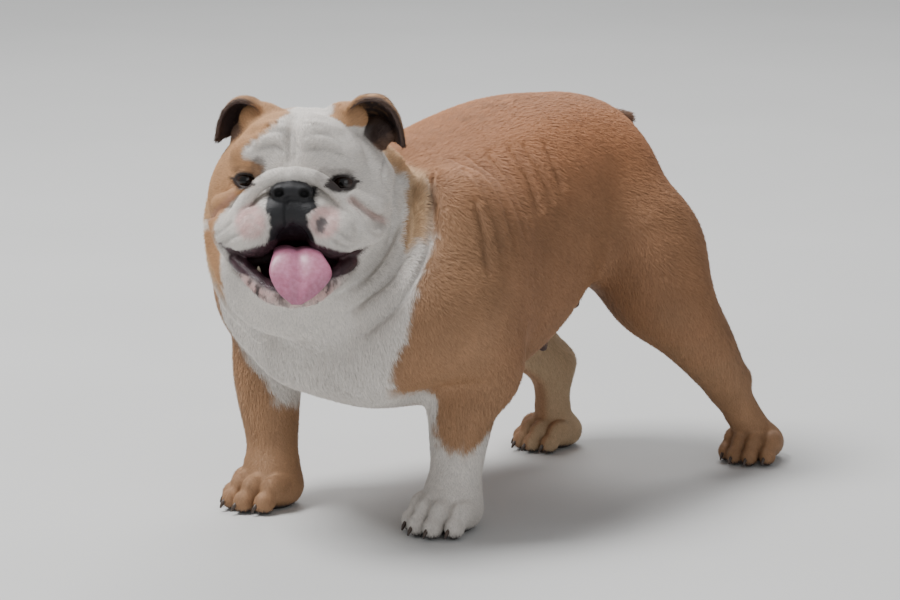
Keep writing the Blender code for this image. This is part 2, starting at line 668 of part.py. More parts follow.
def make_claw(name, leg, size, toe, home):
    spin = np.array(Matrix.Rotation(math.radians(leg["turn"]), 3, "Z"))
    foot = leg["foot"]
    x, y = toe
    shift = (x * 1.06, y + 0.0330, 0)
    rows = np.column_stack([CLAW["path"], CLAW["radii"]])
    rings = []
    for i, row in enumerate(rows):
        way = rows[min(i + 1, len(rows) - 1)][:3] - rows[max(i - 1, 0)][:3]
        up = np.array((0, -way[2], way[1])) / np.linalg.norm(way)
        ring = []
        for a in np.linspace(0, 2 * math.pi, 6, endpoint=False):
            round_it = math.cos(a) * np.array((0.8, 0, 0)) + math.sin(a) * up
            p = (row[:3] + shift) * size + row[3] * size * round_it
            ring.append(tuple(spin @ p + (foot[0], foot[1], 0)))
        rings.append(ring)
    points, faces = tube(rings)
    return solid_from(name, points, faces, home)


def head_planes():
    # A region keeps what is behind its planes: they face the neck, the left shoulder and the chest
    tilt, side = math.radians(HEAD_CUT["tilt"]), math.radians(HEAD_CUT["side_tilt"])
    back = head_frame() @ np.array((0, math.cos(tilt), -math.sin(tilt)))
    left = head_frame() @ np.array((math.cos(side), 0, -math.sin(side)))
    down = head_frame() @ np.array((0, 0, -1))
    return [(to_world([HEAD_CUT["at"]])[0], tuple(back)), (to_world([HEAD_CUT["side_at"]])[0], tuple(left)),
            (to_world([(0, 0, HEAD_CUT["low"])])[0], tuple(down))]


def tail_planes():
    x, wide = TAIL_CUT["at"][0], TAIL_CUT["half_width"]
    return [(TAIL_CUT["at"], tuple(-np.array(TAIL_CUT["facing"]))), ((0, 0, TAIL_CUT["low"]), (0, 0, -1)),
            ((x - wide, 0, 0), (-1, 0, 0)), ((x + wide, 0, 0), (1, 0, 0))]


def leg_planes(leg, end):
    side = 1 if leg["foot"][0] > 0 else -1
    if end == "front":
        return [((side * 0.085, 0, 0.158), (-side * 0.62, 0, 0.78)), ((side * 0.050, 0, 0), (-side, 0, 0)),
                ((0, -0.010, 0), (0, 1, 0))]
    return [((side * 0.060, 0, 0.245), (-side * 0.45, 0, 0.89)), ((side * 0.006, 0, 0), (-side, 0, 0)),
            ((0, 0.092, 0.100), (0, -0.96, -0.10))]


def main():
    clear_scene()
    home = bpy.data.collections.new("bulldog")
    helpers = bpy.data.collections.new("cutters")
    bpy.context.scene.collection.children.link(home)
    bpy.context.scene.collection.children.link(helpers)
    # The flesh, the head on a finer grid than the rest
    clays = {"head": Clay((-0.13, -0.36, 0.17), (0.16, -0.12, 0.46), HEAD_CELL),
             "rest": Clay((-0.20, -0.34, -0.02), (0.20, 0.36, 0.45), BODY_CELL)}
    flesh = {}
    for name, clay in clays.items():
        shape_trunk(clay)
        shape_neck(clay)
        if name == "rest":
            shape_legs(clay)
            clay.soften((-0.19, -0.22, 0.05), (0.19, 0.33, 0.36), 14)
            shape_paws(clay)
            shape_tail(clay)
            shape_teats(clay)
        shape_head(clay)
        clay.keep(head_planes(), name == "head")
        flesh[name] = made("head" if name == "head" else "torso", clay.mesh(name), home)
        thinned(flesh[name], TRIANGLES[name])
    head, torso = flesh["head"], flesh["rest"]

    # Parting
    joined(head, region(head_planes(), -GAP / 2, helpers), "INTERSECT")
    joined(torso, region(head_planes(), GAP / 2, helpers), "DIFFERENCE")
    tilt = math.radians(NECK_CUT["tilt"])
    part_off(torso, "neck", [(NECK_CUT["at"], (0, math.sin(tilt), -math.cos(tilt)))], home, helpers)
    part_off(torso, "tail", tail_planes(), home, helpers)
    joined(torso, region([((0, 0, 0), (0, 0, -1))], 0, helpers), "INTERSECT")
    for end, legs in (("front", FRONT_LEG), ("rear", REAR_LEG)):
        for side, leg in legs.items():
            name = "leg_%s_%s" % (end, side)
            piece = part_off(torso, name, leg_planes(leg, end), home, helpers)
            for number, toe in enumerate(TOES, 1):
                claw = make_claw("claw_%s_%s_%d" % (end, side, number), leg, PAW[end], toe, home)
                joined(piece, swollen(claw, GAP, helpers), "DIFFERENCE")
            biggest(piece)
    biggest(torso)

    # The face's own pieces, each sunk in a socket of the head
    nose = made("nose", head.data.copy(), home)
    core = bmesh.new()
    bmesh.ops.create_uvsphere(core, u_segments=20, v_segments=12, radius=1)
    core_mesh = bpy.data.meshes.new("nose core")
    at = to_world([NOSE["at"]], 1, muzzle_frame())[0]
    turn = Matrix(muzzle_frame().tolist()).to_4x4()
    core.transform(Matrix.Translation(at) @ turn @ Matrix.Diagonal((*NOSE["radii"], 1)))
    core.to_mesh(core_mesh)
    core.free()
    core = made("nose core", core_mesh, helpers)
    joined(nose, core, "INTERSECT")
    biggest(nose)
    joined(head, swollen(core, GAP, helpers), "DIFFERENCE")
    pieces = [make_tongue(home)]
    for side, sign in (("left", 1), ("right", -1)):
        pieces.append(make_eye("eye_" + side, sign, home))
        pieces.append(make_canine("canine_" + side, sign, home))
        pieces.append(make_ear("ear_" + side, sign, home))
    for piece in pieces:
        wide = 1.6 if piece.name.startswith("ear") else 1.0
        joined(head, swollen(piece, GAP * wide, helpers), "DIFFERENCE")
    biggest(head)
    for item in home.objects:
        item.data.transform(Matrix.Translation(TO_MIDDLE))
        item.data.materials.clear()
        item.data.materials.append(finish(item.name))
    for item in helpers.objects:
        item.hide_render = True
        item.display_type = "WIRE"


main()
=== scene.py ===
# English bulldog, the looks: one skin over the solids, a short coat of tufts, eyes, tongue, teeth and claws
import math

import bmesh
import bpy
import numpy as np
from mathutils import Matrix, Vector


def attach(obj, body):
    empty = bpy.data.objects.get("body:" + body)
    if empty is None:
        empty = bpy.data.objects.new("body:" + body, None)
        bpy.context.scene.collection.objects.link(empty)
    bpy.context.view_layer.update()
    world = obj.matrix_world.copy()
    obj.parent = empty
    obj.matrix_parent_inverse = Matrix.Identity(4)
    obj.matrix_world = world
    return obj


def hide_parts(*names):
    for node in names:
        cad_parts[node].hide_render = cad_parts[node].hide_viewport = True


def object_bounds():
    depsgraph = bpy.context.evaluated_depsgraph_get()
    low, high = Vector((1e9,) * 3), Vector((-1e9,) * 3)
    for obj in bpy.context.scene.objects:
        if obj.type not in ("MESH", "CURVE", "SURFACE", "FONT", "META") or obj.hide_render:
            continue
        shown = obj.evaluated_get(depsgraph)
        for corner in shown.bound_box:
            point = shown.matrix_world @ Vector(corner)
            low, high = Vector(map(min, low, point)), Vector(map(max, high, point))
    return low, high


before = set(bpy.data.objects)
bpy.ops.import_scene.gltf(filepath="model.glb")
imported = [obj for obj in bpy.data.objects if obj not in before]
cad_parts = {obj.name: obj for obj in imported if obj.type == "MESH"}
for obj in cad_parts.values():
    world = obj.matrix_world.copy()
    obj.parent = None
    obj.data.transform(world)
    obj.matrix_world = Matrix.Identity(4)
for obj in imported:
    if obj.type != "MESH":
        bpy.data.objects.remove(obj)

import openvdb
from mathutils import Euler, Matrix, Vector
from mathutils.kdtree import KDTree

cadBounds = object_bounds()
bodyName = "root"
print("frame loaded:", len(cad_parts), "solids")

# Places are given from the dog's own middle line; this brings them over the solids
toMiddle = (-0.003, 0.004, 0.0)
headAt = (0.030, -0.262, 0.345)   # between the eyes
headTurn = 36.0                   # degrees towards the dog's left
headLift = 8.0


def smoothRows(rows, steps):
    # a smooth curve through the rows, read at equal steps
    rows = np.array(rows, float)
    if len(rows) < 3:
        share = np.linspace(0, 1, steps + 1)[:, None]
        return rows[0] * (1 - share) + rows[-1] * share
    ends = np.vstack([2 * rows[0] - rows[1], rows, 2 * rows[-1] - rows[-2]])
    found = []
    for a, b, c, d in zip(ends, ends[1:], ends[2:], ends[3:]):
        for t in np.linspace(0, 1, steps, endpoint=False):
            found.append(0.5 * (2 * b + (c - a) * t + (2 * a - 5 * b + 4 * c - d) * t**2
                                + (3 * b - a - 3 * c + d) * t**3))
    return np.array(found + [rows[-1]])


def melt(a, b, blend):
    # the nearer of two distances, with a soft change from one to the other
    near = np.maximum(blend - np.abs(a - b), 0)
    return np.minimum(a, b) - near * near / (4 * blend)


def headTurned():
    turn = Matrix.Rotation(math.radians(headTurn), 3, "Z")
    return np.array(turn @ Matrix.Rotation(math.radians(-headLift), 3, "X"))


headBasis = headTurned()


def fromHead(points, side=1):
    # head places (left, back, up from between the eyes) as places in the dog's frame
    return np.array(points, float) * (side, 1, 1) @ headBasis.T + np.array(headAt)


def toHead(points):
    return (np.array(points, float) - np.array(headAt)) @ headBasis


class Clay:
    # a grid that holds the distance to the surface at each point

    def __init__(self, low, high, cell):
        self.low = np.array(low, float)
        self.cell = cell
        count = np.ceil((np.array(high) - self.low) / cell).astype(int) + 1
        self.field = np.full(count, 0.05, np.float32)
        self.stand()

    @property
    def count(self):
        return np.array(self.field.shape)

    def stand(self, at=(0, 0, 0), turn=None):
        # the place and turn that the next shapes are given in
        self.at = np.array(at, float)
        self.turn = np.eye(3) if turn is None else np.array(turn, float)

    def window(self, low, high, both):
        # the part of the grid round a box, and where its points lie as seen from that place and turn
        x0, x1 = (-high[0], high[0]) if both else (low[0], high[0])
        corners = np.array([(x, y, z) for x in (x0, x1) for y in (low[1], high[1])
                            for z in (low[2], high[2])])
        world = corners @ self.turn.T + self.at
        first = np.clip(np.floor((world.min(0) - self.low) / self.cell).astype(int), 0, self.count)
        last = np.clip(np.ceil((world.max(0) - self.low) / self.cell).astype(int) + 1, first, self.count)
        away = [(self.low[i] + self.cell * np.arange(first[i], last[i]) - self.at[i]).astype(np.float32)
                for i in range(3)]
        away = np.meshgrid(*away, indexing="ij", sparse=True)
        points = [sum(np.float32(self.turn[i, j]) * away[i] for i in range(3)) for j in range(3)]
        if both:
            points[0] = np.abs(points[0])
        return tuple(slice(a, b) for a, b in zip(first, last)), points

    def press(self, part, distance, blend, cut):
        # melts a shape into the clay, or cuts it out with a soft edge
        held = self.field[part]
        if cut:
            self.field[part] = -melt(-held, distance.astype(np.float32), blend)
        else:
            self.field[part] = melt(held, distance.astype(np.float32), blend)

    def ball(self, at, radii, blend=0.008, turn=(0, 0, 0), both=False, cut=False):
        at = np.array(at, float)
        radii = np.array(radii, float)
        reach = np.full(3, radii.max() + blend + 0.01)
        if turn == (0, 0, 0):
            reach = radii + blend + 0.01
        part, (x, y, z) = self.window(at - reach, at + reach, both)
        spin = np.array(Euler([math.radians(a) for a in turn]).to_matrix())
        away = (x - at[0], y - at[1], z - at[2])
        own = [sum(np.float32(spin[i, j]) * away[i] for i in range(3)) for j in range(3)]
        near = np.sqrt(sum((own[j] / np.float32(radii[j])) ** 2 for j in range(3)))
        steep = np.sqrt(sum((own[j] / np.float32(radii[j] ** 2)) ** 2 for j in range(3)))
        self.press(part, near * (near - 1) / np.maximum(steep, 1e-6), blend, cut)

    def rope(self, path, radii, blend=0.004, both=False, cut=False, steps=7):
        # a round strand along a smooth curve, with its own radius at each point
        rows = smoothRows([list(p) + [r] for p, r in zip(path, radii)], steps)
        reach = rows[:, 3].max() + blend + 0.01
        low, high = rows[:, :3].min(0) - reach, rows[:, :3].max(0) + reach
        part, (x, y, z) = self.window(low, high, both)
        shape = np.broadcast_shapes(x.shape, y.shape, z.shape)
        nearest = np.full(shape, 1.0, np.float32)
        thick = np.zeros(shape, np.float32)
        for a, b in zip(rows, rows[1:]):
            way = b[:3] - a[:3]
            long = max(float(way @ way), 1e-10)
            share = ((x - a[0]) * way[0] + (y - a[1]) * way[1] + (z - a[2]) * way[2]) / long
            share = np.clip(share, 0, 1)
            off = [c - a[i] - share * way[i] for i, c in enumerate((x, y, z))]
            away = off[0] ** 2 + off[1] ** 2 + off[2] ** 2
            closer = away < nearest
            nearest[closer] = away[closer]
            thick[closer] = (a[3] + share * (b[3] - a[3]))[closer]
        self.press(part, np.sqrt(nearest) - thick, blend, cut)

    def soften(self, low, high, times):
        # evens out the clay inside a box
        first = np.clip(((np.array(low) - self.low) / self.cell).astype(int), 1, self.count - 2)
        last = np.clip(((np.array(high) - self.low) / self.cell).astype(int), 2, self.count - 1)
        core = tuple(slice(a, b) for a, b in zip(first, last))
        for _ in range(times):
            mixed = np.zeros_like(self.field[core])
            for axis in range(3):
                for way in (-1, 1):
                    moved = tuple(slice(a + way * (i == axis), b + way * (i == axis))
                                  for i, (a, b) in enumerate(zip(first, last)))
                    mixed += self.field[moved]
            self.field[core] = 0.4 * self.field[core] + 0.1 * mixed

    def refine(self):
        # halves the cell by reading between the points
        for axis in range(3):
            held = np.moveaxis(self.field, axis, 0)
            finer = np.empty((2 * held.shape[0] - 1, *held.shape[1:]), np.float32)
            finer[::2] = held
            finer[1::2] = (held[:-1] + held[1:]) / 2
            self.field = np.ascontiguousarray(np.moveaxis(finer, 0, axis))
        self.cell /= 2

    def sample(self, points):
        index = np.rint((np.array(points) - self.low) / self.cell).astype(int)
        index = np.clip(index, 0, self.count - 1)
        return self.field[index[:, 0], index[:, 1], index[:, 2]]

    def land(self, points, way, reach):
        # moves points along a direction until they meet the surface
        way = np.array(way, float) / np.linalg.norm(way)
        steps = np.arange(0, reach, self.cell / 2)
        found = []
        for point in np.array(points, float):
            line = point + steps[:, None] * way
            inside = np.nonzero(self.sample(line) < 0)[0]
            found.append(line[inside[0]] if len(inside) else line[-1])
        return np.array(found)

    def addMesh(self, points, faces, thick, blend):
        # melts a thin closed sheet into the clay, grown all round to its thickness
        points = np.array(points, float)
        low = np.floor((points.min(0) - self.low) / self.cell).astype(int) - 8
        high = np.ceil((points.max(0) - self.low) / self.cell).astype(int) + 9
        low, high = np.clip(low, 0, self.count), np.clip(high, 0, self.count)
        grid = openvdb.FloatGrid.createLevelSetFromPolygons(
            ((points - self.low) / self.cell).astype(np.float32),
            quads=np.array(faces, np.uint32), transform=openvdb.createLinearTransform(1.0), halfWidth=7.0)
        near = np.empty(high - low, np.float32)
        grid.copyToArray(near, ijk=tuple(int(v) for v in low))
        part = tuple(slice(a, b) for a, b in zip(low, high))
        self.press(part, np.abs(near) * self.cell - thick / 2, blend, False)

    def mesh(self, name):
        grid = openvdb.FloatGrid(0.05)
        grid.copyFromArray(self.field)
        points, quads = grid.convertToQuads()
        points = points.astype(float) * self.cell + self.low
        found = bpy.data.meshes.new(name)
        found.from_pydata(points.tolist(), [], quads.tolist())
        return found


trunk = {
    "along": (-0.185, -0.15, -0.10, -0.05, 0.00, 0.05, 0.10, 0.15, 0.19, 0.225),
    "top": (0.290, 0.318, 0.343, 0.358, 0.371, 0.3800, 0.380, 0.372, 0.354, 0.321),
    "bottom": (0.155, 0.124, 0.110, 0.108, 0.118, 0.141, 0.180, 0.208, 0.214, 0.228),
    "widest": (0.215, 0.215, 0.220, 0.225, 0.235, 0.245, 0.260, 0.270, 0.275, 0.275),
    "halfWidth": (0.085, 0.108, 0.120, 0.124, 0.121, 0.111, 0.097, 0.086, 0.072, 0.044),
    "squareness": 2.3,
}


def shapeTrunk(clay):
    rows = smoothRows(np.array([trunk[k] for k in ("along", "top", "bottom", "widest", "halfWidth")]).T, 6)
    first, last = rows[0, 0], rows[-1, 0]
    part, (x, y, z) = clay.window((-0.17, first - 0.03, 0.06), (0.17, last + 0.03, 0.42), False)
    top, bottom, widest, half = (np.interp(y, rows[:, 0], rows[:, i]) for i in range(1, 5))
    tall = np.where(z > widest, top - widest, widest - bottom)
    n = trunk["squareness"]
    near = (np.abs(x / half) ** n + np.abs((z - widest) / tall) ** n) ** (1 / n)
    distance = (near - 1) * np.minimum(half, tall)
    distance = np.maximum(distance, np.maximum(first - y, y - last))
    clay.press(part, distance, 0.004, False)
    # chest, shoulders, loin and rump
    clay.ball((0, -0.160, 0.205), (0.100, 0.062, 0.085), 0.03)
    clay.ball((0.048, -0.178, 0.185), (0.058, 0.042, 0.058), 0.03, both=True)
    clay.ball((0, -0.115, 0.158), (0.072, 0.072, 0.046), 0.03)
    clay.ball((0.088, -0.105, 0.250), (0.060, 0.072, 0.096), 0.035, (12, 0, 0), both=True)
    clay.ball((0.102, -0.164, 0.216), (0.052, 0.055, 0.062), 0.03, both=True)
    clay.ball((0, 0.155, 0.290), (0.086, 0.055, 0.070), 0.03)
    clay.ball((0.046, 0.172, 0.255), (0.044, 0.045, 0.066), 0.03, both=True)


def shapeNeck(clay):
    back = fromHead([(0, 0.075, -0.015)])[0]
    clay.rope([back, (-0.002, -0.150, 0.260), (0, -0.080, 0.246)], (0.070, 0.087, 0.096), 0.03)


frontLegs = {
    "left": {"shoulder": (0.098, -0.135, 0.215), "elbow": (0.106, -0.092, 0.158),
             "forearm": (0.098, -0.108, 0.120), "wrist": (0.094, -0.113, 0.062),
             "pastern": (0.094, -0.118, 0.036), "foot": (0.094, -0.124), "turn": 6},
    "right": {"shoulder": (-0.100, -0.150, 0.215), "elbow": (-0.121, -0.142, 0.160),
              "forearm": (-0.114, -0.156, 0.120), "wrist": (-0.103, -0.162, 0.062),
              "pastern": (-0.099, -0.167, 0.036), "foot": (-0.096, -0.174), "turn": -8},
}
frontLegRadii = (0.058, 0.042, 0.0345, 0.0268, 0.0262)
rearLegs = {
    "left": {"hip": (0.070, 0.158, 0.240), "knee": (0.108, 0.172, 0.182), "shank": (0.119, 0.214, 0.130),
             "hock": (0.120, 0.254, 0.083), "heel": (0.122, 0.272, 0.086), "foot": (0.129, 0.290),
             "turn": 14},
    "right": {"hip": (-0.070, 0.150, 0.240), "knee": (-0.088, 0.124, 0.170),
              "shank": (-0.077, 0.158, 0.122), "hock": (-0.060, 0.196, 0.083),
              "heel": (-0.060, 0.212, 0.086), "foot": (-0.055, 0.190), "turn": -10},
}
rearLegRadii = (0.056, 0.045, 0.034, 0.0240)
paw = {"front": 0.94, "rear": 0.84,
       "toes": ((-0.0255, -0.020), (-0.0090, -0.033), (0.0090, -0.033), (0.0255, -0.020))}


def shapeLegs(clay):
    for leg in frontLegs.values():
        bones = ("shoulder", "elbow", "forearm", "wrist", "pastern")
        clay.rope([leg[k] for k in bones], frontLegRadii, 0.022)
        clay.rope([leg["pastern"], (leg["foot"][0], leg["foot"][1], 0.022)], (0.0265, 0.026), 0.008)
    for leg in rearLegs.values():
        side = math.copysign(1, leg["hip"][0])
        clay.rope([leg[k] for k in ("hip", "knee", "shank", "hock")], rearLegRadii, 0.030)
        hip, knee = np.array(leg["hip"]), np.array(leg["knee"])
        clay.ball((hip + knee) / 2 + (side * 0.004, 0.010, 0.0), (0.042, 0.056, 0.064), 0.03, (-20, 0, 0))
        foot = (leg["foot"][0], leg["foot"][1], 0.024)
        clay.rope([leg["heel"], leg["hock"], foot], (0.013, 0.020, 0.0185), 0.012)


def shapePaws(clay):
    for end, legs in (("front", frontLegs), ("rear", rearLegs)):
        for leg in legs.values():
            clay.stand((*leg["foot"], 0), np.array(Matrix.Rotation(math.radians(leg["turn"]), 3, "Z")))
            s = paw[end]
            clay.ball((0, 0.006 * s, 0.020 * s), (0.031 * s, 0.032 * s, 0.024 * s), 0.010)
            for x, y in paw["toes"]:
                clay.ball((x * s, (y + 0.010) * s, 0.024 * s), (0.0105 * s, 0.018 * s, 0.0155 * s), 0.004)
                clay.ball((x * 1.06 * s, (y - 0.006) * s, 0.012 * s),
                          (0.0098 * s, 0.0125 * s, 0.0125 * s), 0.004)
    clay.stand()


tail = {"path": ((0, 0.196, 0.326), (0.003, 0.214, 0.338), (0.008, 0.226, 0.340)),
        "radii": (0.016, 0.0125, 0.0085)}
# the tips of the teats on the left, mirrored on the right
teats = (((0.060, -0.013, 0.120), 0.0042), ((0.060, 0.046, 0.144), 0.0046),
         ((0.060, 0.092, 0.180), 0.0052))

# head shapes: left, back, up from between the eyes; the muzzle is turned a little more than the skull
muzzleTurn = 6.5
eye = {"at": (0.0452, 0.0045, 0.0), "radius": 0.0125, "opening": (0.0094, 0.0098, 0.0048)}
lip = {
    "path": ((0, -0.038, -0.1035), (0.020, -0.036, -0.0995), (0.037, -0.026, -0.0860),
             (0.054, -0.008, -0.0700), (0.066, 0.004, -0.0540), (0.075, 0.013, -0.0400)),
    "radii": (0.0105, 0.0100, 0.0092, 0.0080, 0.0068, 0.005),
}
# the rolls of loose skin behind the cheeks: two on the left, where the neck bends, and two on the right
neckRolls = (
    (((0.056, 0.092, 0.036), (0.085, 0.080, 0.006), (0.0950, 0.060, -0.028), (0.0935, 0.038, -0.058),
      (0.073, 0.027, -0.088), (0.043, 0.020, -0.109)),
     (0.006, 0.0110, 0.0115, 0.0108, 0.0095, 0.007), 0.005),
    (((0.054, 0.120, 0.018), (0.095, 0.106, -0.010), (0.110, 0.082, -0.036), (0.108, 0.048, -0.060),
      (0.095, 0.024, -0.089), (0.078, 0.021, -0.106), (0.058, 0.030, -0.122)),
     (0.006, 0.0120, 0.0130, 0.0122, 0.0110, 0.0100, 0.007), 0.005),
    (((-0.042, 0.092, 0.036), (-0.072, 0.080, 0.004), (-0.082, 0.066, -0.045), (-0.066, 0.046, -0.090),
      (-0.033, 0.036, -0.112)), (0.006, 0.0115, 0.0135, 0.012, 0.008), 0.006),
    (((-0.026, 0.120, 0.018), (-0.068, 0.106, -0.012), (-0.082, 0.090, -0.060), (-0.068, 0.072, -0.110),
      (-0.042, 0.070, -0.146)), (0.006, 0.0125, 0.0155, 0.0135, 0.008), 0.008),
)
# the roll over the nose, down to its curl at the corner of the mouth, and the cheek above it
cheekRolls = (
    (((-0.001, -0.0300, 0.0080), (0.0160, -0.0290, 0.0060), (0.0310, -0.0260, -0.0020),
      (0.0450, -0.0230, -0.0165), (0.0560, -0.0240, -0.0320), (0.0640, -0.0210, -0.0445),
      (0.0730, -0.0070, -0.0485), (0.0800, 0.008, -0.0420)),
     (0.0070, 0.0070, 0.0068, 0.0070, 0.0074, 0.0076, 0.0068, 0.0050), 0.0025),
    (((0.048, -0.008, -0.008), (0.061, -0.006, -0.0155), (0.072, 0.003, -0.0215), (0.077, 0.016, -0.022)),
     (0.005, 0.0080, 0.0098, 0.0075), 0.004),
)


def smoothStep(value, low, high):
    share = np.clip((value - low) / (high - low), 0, 1)
    return share * share * (3 - 2 * share)


def muzzleTurned():
    return headBasis @ np.array(Matrix.Rotation(math.radians(muzzleTurn), 3, "Z"))


muzzleBasis = muzzleTurned()


def fromMuzzle(points, side=1):
    return np.array(points, float) * (side, 1, 1) @ muzzleBasis.T + np.array(headAt)


def shapeSkull(clay):
    clay.stand(headAt, headBasis)
    clay.ball((0, 0.055, 0.006), (0.074, 0.078, 0.060), 0.02)
    clay.ball((0.046, 0.046, -0.020), (0.042, 0.050, 0.046), 0.02, both=True)
    clay.ball((0, 0.012, 0.034), (0.050, 0.030, 0.030), 0.012)
    clay.ball((0.033, 0.006, 0.024), (0.028, 0.018, 0.017), 0.010, both=True)
    clay.ball((0, -0.004, -0.028), (0.050, 0.030, 0.028), 0.012)


def shapeMuzzle(clay):
    clay.stand(headAt, muzzleBasis)
    # lower jaw and throat, then the open mouth
    clay.ball((0, 0.000, -0.086), (0.046, 0.042, 0.024), 0.012)
    clay.ball((0, 0.040, -0.078), (0.070, 0.052, 0.046), 0.02)
    clay.ball((0, -0.012, -0.073), (0.058, 0.056, 0.0185), 0.004, (-6, 0, 0), cut=True)
    clay.rope(lip["path"], lip["radii"], 0.004, both=True)
    # upper lips, hanging as two pads that part under the nose
    clay.ball((0, -0.026, -0.024), (0.018, 0.016, 0.016), 0.006)
    clay.ball((0.017, -0.025, -0.029), (0.019, 0.020, 0.018), 0.007, both=True)
    clay.ball((0.0355, -0.021, -0.0455), (0.0245, 0.0255, 0.0245), 0.006, (0, 0, 10), both=True)
    clay.ball((0.056, 0.000, -0.0445), (0.0195, 0.027, 0.0215), 0.008, both=True)
    clay.rope([(-0.002, -0.040, -0.0425), (-0.001, -0.040, -0.052), (0.001, -0.040, -0.064)],
              (0.0012, 0.0075, 0.0165), 0.003, cut=True)
    # nose
    clay.ball((-0.001, -0.0315, -0.0065), (0.0190, 0.0115, 0.0090), 0.003)
    for side in (1, -1):
        clay.ball((side * 0.0112 - 0.001, -0.0362, -0.0085), (0.0086, 0.0078, 0.0076), 0.003)
        clay.ball((side * 0.0116 - 0.001, -0.0435, -0.0092), (0.0046, 0.0070, 0.0036), 0.0012,
                  (0, side * 18, 0), cut=True)
        clay.rope([(side * 0.0125 - 0.001, -0.0450, -0.0100), (side * 0.0190 - 0.001, -0.0400, -0.0085)],
                  (0.0017, 0.0009), 0.0012, cut=True)
    clay.rope([(-0.001, -0.0450, -0.005), (-0.0015, -0.0440, -0.016), (-0.0025, -0.0445, -0.030),
               (-0.0030, -0.0450, -0.042)], (0.0009, 0.0012, 0.0012, 0.0016), 0.0028, cut=True)
    # the roll over the nose and the puffed cheek beside its end, tucked in on the far side
    for side, tuck in ((1, 0.0), (-1, 0.09)):
        for path, radii, blend in cheekRolls:
            tucked = [(side * u * (1 - tuck * smoothStep(u, 0.03, 0.07)), y, z) for u, y, z in path]
            clay.rope(tucked, radii, blend)


def shapeBrow(clay):
    clay.stand(headAt, headBasis)
    clay.rope([(0.004, -0.014, 0.037), (0.014, -0.016, 0.040), (0.028, -0.012, 0.037), (0.044, 0.001, 0.028)],
              (0.003, 0.0045, 0.0050, 0.004), 0.010, both=True)
    clay.rope([(0.008, -0.013, 0.049), (0.020, -0.010, 0.050), (0.034, 0.000, 0.046)],
              (0.003, 0.004, 0.003), 0.010, both=True)
    clay.rope([(-0.001, -0.026, 0.018), (-0.001, -0.022, 0.034), (0, -0.008, 0.056), (0, 0.030, 0.073),
               (0, 0.080, 0.072)], (0.0015, 0.0025, 0.003, 0.004, 0.003), 0.009, cut=True)


def shapeEyes(clay):
    x, y, z = eye["at"]
    r = eye["radius"]
    clay.ball((x, y - 0.010, z), (r, 0.012, 0.0085), 0.004, both=True, cut=True)
    clay.ball((x, y, z), (r * 0.96, r * 0.96, r * 0.96), 0.001, both=True)
    inner, outer = (x - 0.0118, y - 0.0075, z - 0.0022), (x + 0.0120, y - 0.0035, z + 0.0016)
    for forward, rise, thick in ((0.0002, 0.0077, 0.0028), (0.0004, -0.0072, 0.0027)):
        clay.rope([inner, (x - 0.0010, y - r + forward, z + rise), outer], (0.0021, thick, 0.0021), 0.002,
                  both=True)
    clay.ball((x, y - 0.014, z + 0.0003), eye["opening"], 0.001, both=True, cut=True)


# the swell in front of each ear and the small knob at its lower edge: left, back, up
earRoots = {1: ((0.040, 0.036, 0.057), (0.0745, 0.046, 0.040)),
            -1: ((-0.037, 0.036, 0.055), (-0.056, 0.040, 0.040))}
earHollow = (0.067, 0.054, 0.045)   # filled between the left ear and its knob


def shapeEarRoots(clay):
    clay.stand(headAt, headBasis)
    for swell, knob in earRoots.values():
        clay.ball(swell, (0.021, 0.014, 0.016), 0.010)
        clay.ball(knob, (0.010, 0.010, 0.011), 0.008)
    clay.ball(earHollow, (0.013, 0.012, 0.014), 0.008)


def shapeHead(clay):
    shapeSkull(clay)
    shapeMuzzle(clay)
    shapeBrow(clay)
    shapeEyes(clay)
    shapeEarRoots(clay)
    # the throat and the rolls of loose skin behind the cheeks
    clay.ball((0, 0.062, -0.095), (0.078, 0.050, 0.055), 0.02)
    for path, radii, blend in neckRolls:
        clay.rope(path, radii, blend)
    clay.stand()


# how deep the coat is, in metres, and where it thins out
coatDepth = {"body": 0.0019, "head": 0.0009, "paw": 0.0010, "leather": 0.0003}
# the folds down each flank: the first one's place, the step to the next, the middle they are laid towards;
# "shade" is the width and strength of the painted shade along each
flankFolds = {"count": 8, "first": -0.134, "step": 0.0212, "lean": 0.014, "middle": 0.235, "radius": 0.0025,
              "blend": 0.0085, "shade": (0.0060, 0.28)}
creaseLines = []    # every groove's line, how wide its painted shade is and how strong

# the face's fine creases, cut from the front: left and up from between the eyes
faceCreases = (
    ((-0.0401, 0.0294), (-0.0346, 0.0372), (-0.0217, 0.0439), (-0.0087, 0.0446), (-0.0037, 0.0398)),
    ((0.0080, 0.0394), (0.0153, 0.0431), (0.0301, 0.0431), (0.0412, 0.0358), (0.0458, 0.0284)),
    ((-0.0327, 0.0257), (-0.0272, 0.0312), (-0.0161, 0.0330), (-0.0096, 0.0294)),
    ((0.0135, 0.0284), (0.0190, 0.0312), (0.0320, 0.0303), (0.0523, 0.0220)),
    ((-0.0260, 0.0480), (-0.0087, 0.0532), (0.0080, 0.0523), (0.0260, 0.0505)),
    ((-0.0030, 0.0440), (-0.0032, 0.0300), (-0.0030, 0.0180)),
    ((0.0028, 0.0430), (0.0026, 0.0300), (0.0024, 0.0200)),
    ((0.0740, 0.0230), (0.0765, 0.0046), (0.0840, -0.0101)),
    ((-0.0012, -0.0155), (-0.0012, -0.0280), (-0.0010, -0.0390)),
    ((-0.0700, -0.0500), (-0.0610, -0.0440), (-0.0510, -0.0370)),
    ((-0.0690, -0.0600), (-0.0580, -0.0530), (-0.0420, -0.0470)),
    ((0.0460, -0.0430), (0.0560, -0.0480), (0.0660, -0.0450)),
    ((0.0400, -0.0500), (0.0540, -0.0560), (0.0680, -0.0520)),
    ((0.0555, -0.0175), (0.0680, -0.0270), (0.0800, -0.0345)),
)


